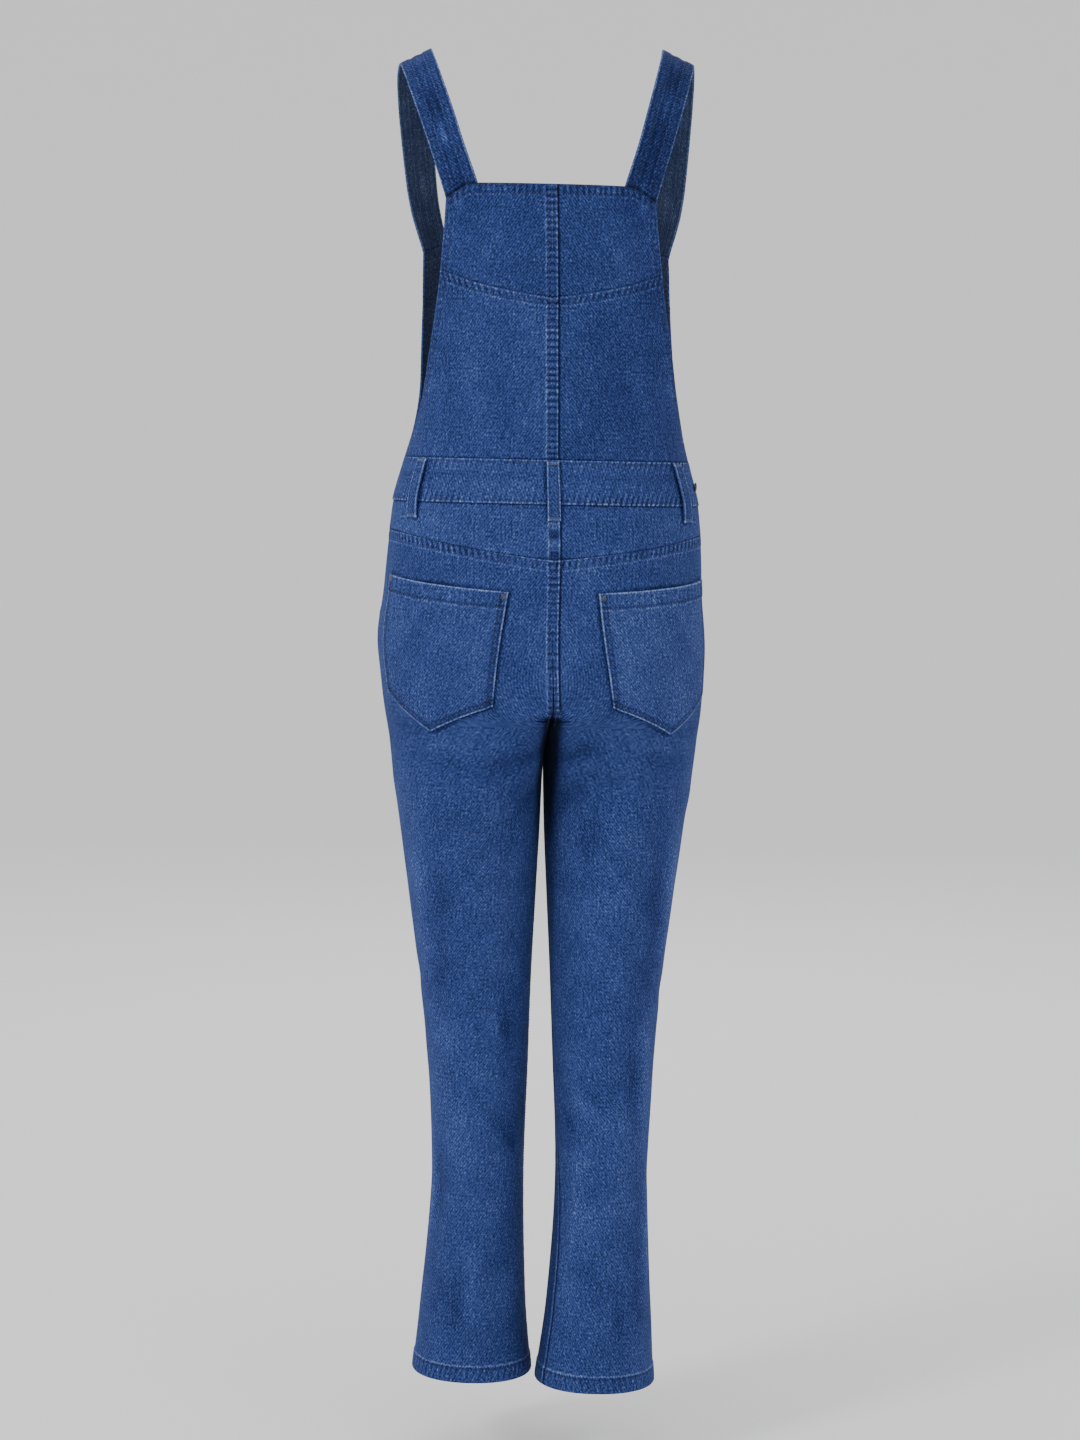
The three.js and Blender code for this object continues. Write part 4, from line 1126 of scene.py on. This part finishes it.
def back_leg(side):
    first = float(seam_direction(np.array(0.0)))

    def direction(u, z):
        return follow_inner(seam_direction(u), first, inner_angle(-1, z), u)

    def at(u, z):
        return leg(side, direction(u, z), z)

    def hidden(z, us, run):
        """How much of the row lies between the two halves, where they rest on each other."""
        from_middle = leg_plan(side, direction(us, z), np.full(us.shape, z))[0] - SEAM
        last = np.argmax(from_middle > LEGS_TOUCH[0])
        fade = below(SEAT_START, SEAT_START - 8, z) * (1 - below(CROTCH + 16, CROTCH, z))
        return fade * (np.interp(LEGS_TOUCH[0], from_middle[:last + 1], run[:last + 1]) if last else 0.0)

    def top(u):
        return yoke_seam(yoke_angle(u)) - EDGE

    near = (*FELL_LINES, 9.6, 10.6)
    rows = leg_rows(band_lines(YOKE_FELL), SEAT_ROWS)
    panel = LegPanel(at, top, rows, BACK_LEG_WIDE, FINE, near, EDGE_LINES, hidden=hidden)
    cloth = Cloth("back_leg_" + side_name(side), panel)
    cloth.band(panel.top, panel.left, YOKE_FELL, YOKE_FELL_RELIEF, 0.36, 2.6, 6.2, 1.4 * side, 0.2, 2.2)
    cloth.fold(panel.top, 3.0, 1.4)
    # Painted shadow along the top edge, where its fold lies over the yoke.
    cloth.line(panel.top, 0, 0.8, -4.5)
    cloth.sew(panel.top, (2.6, YOKE_FELL - 1.8), 0.9, end=1)
    leg_hem(cloth, 2.0 + side)
    angle = direction(panel.u, panel.z)
    from_middle = leg_plan(side, angle, panel.z)[0] - SEAM
    free = np.where(panel.z > SEAT_START, 1, smooth(*LEGS_TOUCH, from_middle))
    seat = 1 - below(CROTCH + 14, CROTCH + 6, panel.z)
    sewn = np.where(panel.z > CROTCH, from_middle, panel.left)
    centre_fell(cloth, side, from_middle, sewn, seat * free, 12)
    cloth.seam(panel.right, 1.5)
    inseam = below(CROTCH + 20, CROTCH - 40, panel.z)
    cloth.ladder(gathers(panel.down, 7, side), inseam * bell((panel.left - 4) / 4), 0.15, 0.5)
    # The inner seam's fell, turned towards the back on the right leg: a groove with a painted shadow line,
    # the fold's worn edge beside it, and painted shade from there to the inner edge.
    twist = below(-1020, -1260, panel.z) * (INSEAM_TWIST if side > 0 else 0)
    low = below(-960, -1060, panel.z)
    beside = panel.left - INSEAM_FELL - twist
    cloth.relief -= 0.4 * low * np.clip(1 - np.abs(beside) / 1.7, 0, 1)
    cloth.line(beside, 0, 1.5, -5.5 * low)
    cloth.line(beside, -3.4, 1.2, 3.2 * low)
    cloth.wear_and_shade -= 2.0 * low * (1 - smooth(-5, -3, beside))
    # Painted shadow between the thighs, just below the crotch.
    thigh_gap_shadow = below(CROTCH + 14, CROTCH + 4, panel.z) * (1 - below(CROTCH - 60, CROTCH - 150, panel.z))
    cloth.wear_and_shade -= 8.0 * thigh_gap_shadow * np.exp(-((from_middle / 9) ** 4))
    cloth.crease(ON_LEG, side, angle, 0.7)
    cloth.wear_and_shade -= 3.2 * pocket_shade(angle, panel.z)
    cloth.make()


def front_leg(side):
    first = float(inner_angle(1, float(WAIST_BOTTOM)))

    def direction(u, z):
        outer = np.maximum(along(SCOOP, "angle", z), gap_angle(LEG_REACH))
        return follow_inner(mix(first, outer, u), first, inner_angle(1, z), u)

    def at(u, z):
        return leg(side, direction(u, z), z)

    rows = leg_rows((*EDGE_LINES, 8, 14), FRONT_SEAT_ROWS)
    grid = (FRONT_LEG_WIDE, FRONT_LEG_COLUMNS, INSEAM_LINES, band_lines(8))
    panel = LegPanel(at, flat(WAIST_BOTTOM - EDGE), rows, *grid)
    cloth = Cloth("front_leg_" + side_name(side), panel)
    cloth.seam(panel.top, 2.4)
    leg_hem(cloth, 5.0 + side)
    scoop = np.where(panel.z > SCOOP_END + 10, 1 - below(SCOOP_END + 40, SCOOP_END + 10, panel.z), 0)
    turned_in = scoop * inside(panel.right, 8)
    cloth.relief += 0.35 * turned_in
    cloth.ladder(gathers(panel.down, 6.5, 1), turned_in, 0.12, 0.6)
    cloth.fold(panel.right, 1.8 * scoop, 0.8)
    # Painted shadow along the side seam below the scoop.
    cloth.line(panel.right, 0, 1.2, -1.5 * (1 - scoop))
    cloth.seam(panel.left, 1.5)
    cloth.crease(ON_LEG, side, direction(panel.u, panel.z), 0.55)
    above = np.where(panel.z > SCOOP_END + 3, panel.right, np.inf)
    cloth.sew(above, SCOOP_ROWS, axis=1)
    cloth.sew(panel.left, [4.4], axis=1, end=700)
    cloth.make()


def hip_facing(side):
    """The facing behind the hip pocket's opening, a little inside the front leg."""
    under = -WALL - 2 * LAY_GAP
    lap_round, lap_down = FACING_LAP
    columns, rows = FACING_GRID
    zs = np.linspace(WAIST_BOTTOM - EDGE, SCOOP_END - lap_down, rows)
    u, z = np.meshgrid(np.linspace(0, 1, columns), zs)
    angle = mix(along(SCOOP, "angle", z) + lap_round, gap_angle(LEG_REACH), u)
    points = leg(side, angle, z)
    run = np.cumsum(np.linalg.norm(np.diff(points, axis=1, prepend=points[:, :1]), axis=2), axis=1)
    cloth = Cloth("hip_pocket_facing_" + side_name(side), Strip(points, run, -z), under)
    cloth.crease(ON_LEG, side, angle)
    cloth.make(under - WALL)


def pocket_top(u):
    return mix(POCKET["top_inner"], POCKET["top_outer"], u)


def pocket_bottom(u):
    share = POCKET["point_share"]
    inner = mix(POCKET["corner_inner"], POCKET["point"], u / share)
    outer = mix(POCKET["point"], POCKET["corner_outer"], (u - share) / (1 - share))
    return np.where(u < share, inner, outer)


def pocket_shade(angle, z):
    """The shade that falls on the leg round the sides and the point of its pocket."""
    down = np.clip((POCKET["top_inner"] - z) / (POCKET["top_inner"] - POCKET["corner_inner"]), 0, 1)
    edge = mix(POCKET["inner_top"], POCKET["inner_bottom"], down)
    u = np.clip((angle - edge) / (POCKET["outer"] - edge), 0, 1)
    beside = np.radians(np.maximum(edge - angle, angle - POCKET["outer"])) * ON_LEG[1] * POCKET_SPREAD
    off = np.maximum(beside, np.maximum(z - pocket_top(u), pocket_bottom(u) - z))
    return bell((off - 0.6) / 1.5) * (z < pocket_top(u) + 3)


def back_pocket(side):
    def angle_at(u, z):
        v = np.clip((pocket_top(u) - z) / (pocket_top(u) - pocket_bottom(u)), 0, 1)
        return mix(mix(POCKET["inner_top"], POCKET["inner_bottom"], v), POCKET["outer"], u)

    def at(u, z):
        return leg(side, angle_at(u, z), z)

    height = POCKET["top_inner"] - POCKET["corner_inner"]
    rows = marks(height, POCKET_ROWS, band_lines(POCKET_HEM), POCKET_LINES)
    panel = Panel(at, pocket_top, pocket_bottom, rows, POCKET_WIDE, FINE, POCKET_LINES, POCKET_LINES)
    cloth = Cloth("back_pocket_" + side_name(side), panel, LAY_GAP + WALL)
    hem = inside(panel.top, POCKET_HEM)
    cloth.relief += POCKET_RELIEF * hem
    belly = hem * np.sin(math.pi * np.clip(panel.top / POCKET_HEM, 0, 1)) ** 0.6
    cloth.ladder(gathers(panel.left, 7.0, 3 * side), belly, 0.24, 1.1)
    cloth.sew(panel.top, [POCKET_HEM - 1.4], 2.4, start=1, end=1)
    cloth.line(panel.top, POCKET_HEM + 1.2, 0.9, 1.4)
    cloth.fold(panel.top, 4.2, 0.8)
    sides = (panel.left, panel.down, 1, 1), (panel.right, panel.down, 1, 1), (panel.bottom, panel.left, 0, 2)
    for distance, run, axis, cut in sides:
        cloth.pull(distance - 4, run, 3.5, 0.12, 0.8, 6.4, side)
        cloth.sew(distance, POCKET_SEWN, 2.8, axis, cut, cut)
        cloth.line(distance, 4.8, 2.2, -0.8)
        cloth.fold(distance, 4.2, 0.8)
    for distance in (panel.left, panel.right):
        cloth.sew(distance, POCKET_TACKS, axis=1, start=1.5, end=-8.5, kind=TACK)
    cloth.crease(ON_LEG, side, angle_at(panel.u, panel.z))
    cloth.make(LAY_GAP)


def belt_loop(name, side, angle):
    """A loop lies on the waistband at its top and on the panel below it, and stands off between."""
    size = abs(angle)
    inner = angle_away(size, 90, float(WAIST_BOTTOM), LOOP_WIDE / 2) - size
    outer = size - angle_away(size, 0, float(WAIST_BOTTOM), LOOP_WIDE / 2)
    u, v = np.meshgrid(both_ways(LOOP_LINES), np.linspace(0, 1, LOOP_ROWS))
    across = size + mix(outer if angle == -90 else inner, -outer, u)
    z = mix(LOOP_TOP, LOOP_BOTTOM, v)
    over = across > 90
    points = trunk(np.where(over, -side, side), np.sign(angle) * np.where(over, 180 - across, across), z)
    bow = np.sin(math.pi * np.clip(v / LOOP_BOW_END, 0, 1)) ** LOOP_BOW_SHAPE
    on = mix(BAND_RELIEF, LOOP_ON_YOKE, smooth((LOOP_TOP - WAIST_BOTTOM) / LOOP_TALL, 1, v))
    cloth = Cloth(name, Strip(points, u * LOOP_WIDE, -z), WALL)
    edge = np.minimum(u, 1 - u) * LOOP_WIDE
    cloth.fold(edge, 3.8)
    cloth.fold(np.minimum(v, 1 - v) * LOOP_TALL, 3.8)
    cloth.relief += 0.3 * bell((edge - 3.2) / 1.6)
    cloth.holes(edge, [LOOP_SEWN], 1.2)
    for share in (u, 1 - u):
        cloth.sew(share * LOOP_WIDE, [LOOP_SEWN], axis=1, start=1, end=1)
    for share in (v, 1 - v):
        cloth.sew(share * LOOP_TALL, LOOP_TACKS, start=1.2, end=1.2, kind=TACK)
    cloth.ladder(gathers(-z, 6, angle), bell((edge - 4.5) / 2.5), 0.05, 0.4)
    cloth.lift = LAY_GAP + on + LOOP_BOW * bow + ON_BAND[3] * ripple(points)
    cloth.make(0.0)


def side_snap():
    """The dished metal cap of the snap at the wearer's right end of the waistband."""
    seat = trunk(1, SNAP["angle"], SNAP["z"])
    ahead = trunk(1, SNAP["angle"] + 1.0, SNAP["z"]) - seat
    outwards = Vector(np.cross(ahead, (0, 0, 1))).normalized()
    profile = [(radius * SNAP["radius"] * MM, height * SNAP["thick"] * MM) for radius, height in SNAP_PROFILE]
    piece = turned("snap_cap", profile, SNAP_SEGMENTS, DARK_METAL)
    piece.data.set_sharp_from_angle(angle=SHARP)
    aim(piece, (Vector(seat) + outwards * (BAND_RELIEF + SNAP["clear"])) * MM, outwards, "Z")
    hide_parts("side_snap")
    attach(piece, "root")


class Nodes:
    """Short calls for building a material's nodes."""

    def __init__(self, name):
        self.material = bpy.data.materials.new(name)
        self.material.use_nodes = True
        self.tree = self.material.node_tree
        self.shader = self.tree.nodes["Principled BSDF"]

    def give(self, node, inputs):
        """Gives inputs to a node: an output of another node is linked, and anything else is a value."""
        for key, value in inputs.items():
            if isinstance(value, bpy.types.NodeSocket):
                self.tree.links.new(value, node.inputs[key])
            else:
                node.inputs[key].default_value = value

    def add(self, kind, inputs=None, **settings):
        node = self.tree.nodes.new("ShaderNode" + kind)
        for key, value in settings.items():
            setattr(node, key, value)
        self.give(node, inputs or {})
        return node

    def uv(self, scale_x, scale_y, turn=0.0):
        """Cloth coordinates, counted in cells of the given number a metre."""
        cloth = self.add("UVMap", uv_map="cloth").outputs["UV"]
        inputs = {"Vector": cloth, "Scale": (scale_x, scale_y, 1), "Rotation": (0, 0, math.radians(turn))}
        return self.add("Mapping", inputs).outputs["Vector"]

    def noise(self, vector, scale=1.0, detail=2.0, roughness=0.5):
        inputs = {"Vector": vector, "Scale": scale, "Detail": detail, "Roughness": roughness}
        return self.add("TexNoise", inputs).outputs["Fac"]

    def math(self, operation, *values):
        return self.add("Math", dict(enumerate(values)), operation=operation).outputs[0]

    def ramp(self, value, stops):
        node = self.add("ValToRGB", {"Fac": value})
        elements = node.color_ramp.elements
        while len(elements) < len(stops):
            elements.new(0.5)
        for element, (place, color) in zip(elements, stops):
            element.position = place
            element.color = (*color, 1)
        return node.outputs["Color"]

    def bump(self, height, distance, strength):
        inputs = {"Height": height, "Distance": distance, "Strength": strength}
        return self.add("Bump", inputs).outputs["Normal"]


def denim(name, stops):
    """Washed twill: diagonal ribs, slubs down the warp, mottled fading, and the wear attribute with its real
    wear and painted light and shade.
    """
    nodes = Nodes(name)
    wear_and_shade = nodes.add("Attribute", attribute_name="wear_and_shade").outputs["Fac"]
    grain = nodes.noise(nodes.uv(470, 400), 1.0, 2.0, 0.6)
    slub = nodes.noise(nodes.uv(520, 60), 1.0, 2.0, 0.5)
    mottle = nodes.noise(nodes.uv(30, 22), 1.0, 3.0, 0.55)
    patch = nodes.noise(nodes.uv(8, 5), 1.0, 1.0, 0.5)
    ribs = {"Vector": nodes.uv(1, 1, 35), "Scale": 125.0, "Distortion": 2.5, "Detail": 1.0}
    wave = {"wave_type": "BANDS", "bands_direction": "X", "wave_profile": "SIN"}
    rib = nodes.add("TexWave", ribs, **wave).outputs["Fac"]
    total = nodes.math("MULTIPLY_ADD", wear_and_shade, 0.085, 0.5)
    for value, share in ((grain, 1.18), (slub, 0.40), (mottle, 0.22), (patch, 0.16), (rib, 0.16)):
        total = nodes.math("MULTIPLY_ADD", nodes.math("SUBTRACT", value, 0.5), share, total)
    height = nodes.math("MULTIPLY_ADD", rib, 0.4, nodes.math("ADD", grain, nodes.math("MULTIPLY", slub, 0.6)))
    nodes.give(nodes.shader, {
        "Base Color": nodes.ramp(total, stops),
        "Roughness": nodes.math("MULTIPLY_ADD", grain, 0.18, 0.78),
        "Sheen Weight": 0.04,
        "Sheen Roughness": 0.5,
        "Sheen Tint": (0.35, 0.55, 1.0, 1.0),
        "Specular IOR Level": 0.10,
        "Normal": nodes.bump(height, 0.0004, 0.5),
    })
    return nodes.material


def speckled(name, dark, light, grain, bump):
    """A material that wanders between two colours: its nodes, and the fine noise that they follow."""
    nodes = Nodes(name)
    value = nodes.noise(nodes.add("TexCoord").outputs["Object"], *grain)
    color = nodes.ramp(value, [(0.3, dark), (0.7, light)])
    nodes.give(nodes.shader, {"Base Color": color, "Normal": nodes.bump(value, *bump)})
    return nodes, value


def thread_material(name, dark, light):
    nodes, _ = speckled(name, dark, light, (900.0, 2.0, 0.5), (0.0002, 0.4))
    nodes.give(nodes.shader, {"Roughness": 0.7, "Sheen Weight": 0.15})
    return nodes.material


def metal_material():
    dark, light = (0.018, 0.020, 0.026), (0.075, 0.08, 0.09)
    nodes, value = speckled("oxidised_metal", dark, light, (420.0, 4.0, 0.6), (0.0001, 0.3))
    nodes.give(nodes.shader, {"Metallic": 0.85, "Roughness": nodes.math("MULTIPLY_ADD", value, 0.3, 0.28)})
    return nodes.material


DENIM = denim("washed_denim", [
    (0.0, (0.0016, 0.0032, 0.017)),
    (0.30, (0.0085, 0.0175, 0.076)),
    (0.50, (0.0230, 0.0430, 0.165)),
    (0.70, (0.0520, 0.0880, 0.270)),
    (1.0, (0.2100, 0.2900, 0.490)),
])
# The wrong side: greyer than the face, and kept darker than real denim's pale back, as painted shade for
# insides that lie in shadow.
DENIM_BACK_SHADED = denim("denim_wrong_side_shaded", [
    (0.0, (0.006, 0.010, 0.028)),
    (0.35, (0.018, 0.028, 0.068)),
    (0.60, (0.040, 0.058, 0.115)),
    (1.0, (0.150, 0.190, 0.290)),
])
THREAD = thread_material("topstitch_thread", (0.014, 0.020, 0.040), (0.045, 0.056, 0.080))
TACK_THREAD = thread_material("bar_tack_thread", (0.045, 0.050, 0.055), (0.130, 0.135, 0.130))
DARK_METAL = metal_material()


def garment():
    for side in (1, -1):
        back_bib(side, True)
        back_bib(side, False)
        for piece in (strap, yoke, back_leg, front_leg, hip_facing, back_pocket):
            piece(side)
    front_bib(True)
    front_bib(False)
    waistband(-1)
    waistband(1)
    for loop in LOOPS:
        belt_loop(*loop)
    side_snap()


# The photograph's view: a long lens level with the knees, a little left of straight behind the garment.
VIEW_AZIMUTH = -2.0
VIEW_ELEVATION = 5.0
VIEW_DISTANCE = 3.3
VIEW_TARGET = (-0.007, 0.0, -0.689)
FOCAL_PIXELS = 3125
FRAME_HEIGHT = 1440
SENSOR = 36.0


def camera():
    data = bpy.data.cameras.new("photo_camera")
    data.sensor_width = SENSOR
    data.lens = SENSOR * FOCAL_PIXELS / FRAME_HEIGHT
    made = put("photo_camera", data)
    a, e = math.radians(VIEW_AZIMUTH), math.radians(VIEW_ELEVATION)
    back = Vector((math.sin(a) * math.cos(e), -math.cos(a) * math.cos(e), math.sin(e)))
    aim(made, Vector(VIEW_TARGET) + back * VIEW_DISTANCE, -back, "-Z")
    bpy.context.scene.camera = made


# The studio is a wide pale bowl, so that no horizon shows from any side.
FLOOR_Z = -1.47
FLOOR_RADIUS = 6.0
WALL_RADIUS = 9.0
WALL_TOP = 7.0
BOWL_TURN = 96
BOWL_CURVE = 16
WORLD_GREY = (0.9, 0.9, 0.9, 1)
WORLD_STRENGTH = 1.22
LIT = (0.0, 0.0, -0.7)
LIGHTS = [
    # name place size watts
    ("key", (-2.9, -2.2, 1.5), 1.0, 66),
    ("fill", (2.4, -2.8, 0.4), 1.8, 10),
    ("back", (0.4, 3.2, 1.4), 1.8, 30),
]


def studio():
    """A pale floor under even, soft light from all round, with a soft key from the upper left."""
    bend = WALL_RADIUS - FLOOR_RADIUS
    profile = [(WALL_RADIUS, WALL_TOP)]
    for a in np.linspace(math.pi / 2, 0, BOWL_CURVE):
        profile.append((FLOOR_RADIUS + bend * math.sin(a), FLOOR_Z + bend * (1 - math.cos(a))))
    profile += [(FLOOR_RADIUS / 2, FLOOR_Z), (0, FLOOR_Z)]
    nodes = Nodes("studio_grey")
    nodes.give(nodes.shader, {"Base Color": WORLD_GREY, "Roughness": 0.95, "Specular IOR Level": 0.0})
    turned("studio_floor", profile, BOWL_TURN, nodes.material)
    world = bpy.data.worlds.new("studio_world")
    world.use_nodes = True
    sky = world.node_tree.nodes["Background"].inputs
    sky["Color"].default_value = WORLD_GREY
    sky["Strength"].default_value = WORLD_STRENGTH
    bpy.context.scene.world = world
    for name, place, size, watts in LIGHTS:
        data = bpy.data.lights.new(name, "AREA")
        data.shape = "DISK"
        data.size = size
        data.energy = watts
        aim(put(name, data), place, Vector(LIT) - Vector(place), "-Z")


camera()
studio()
garment()
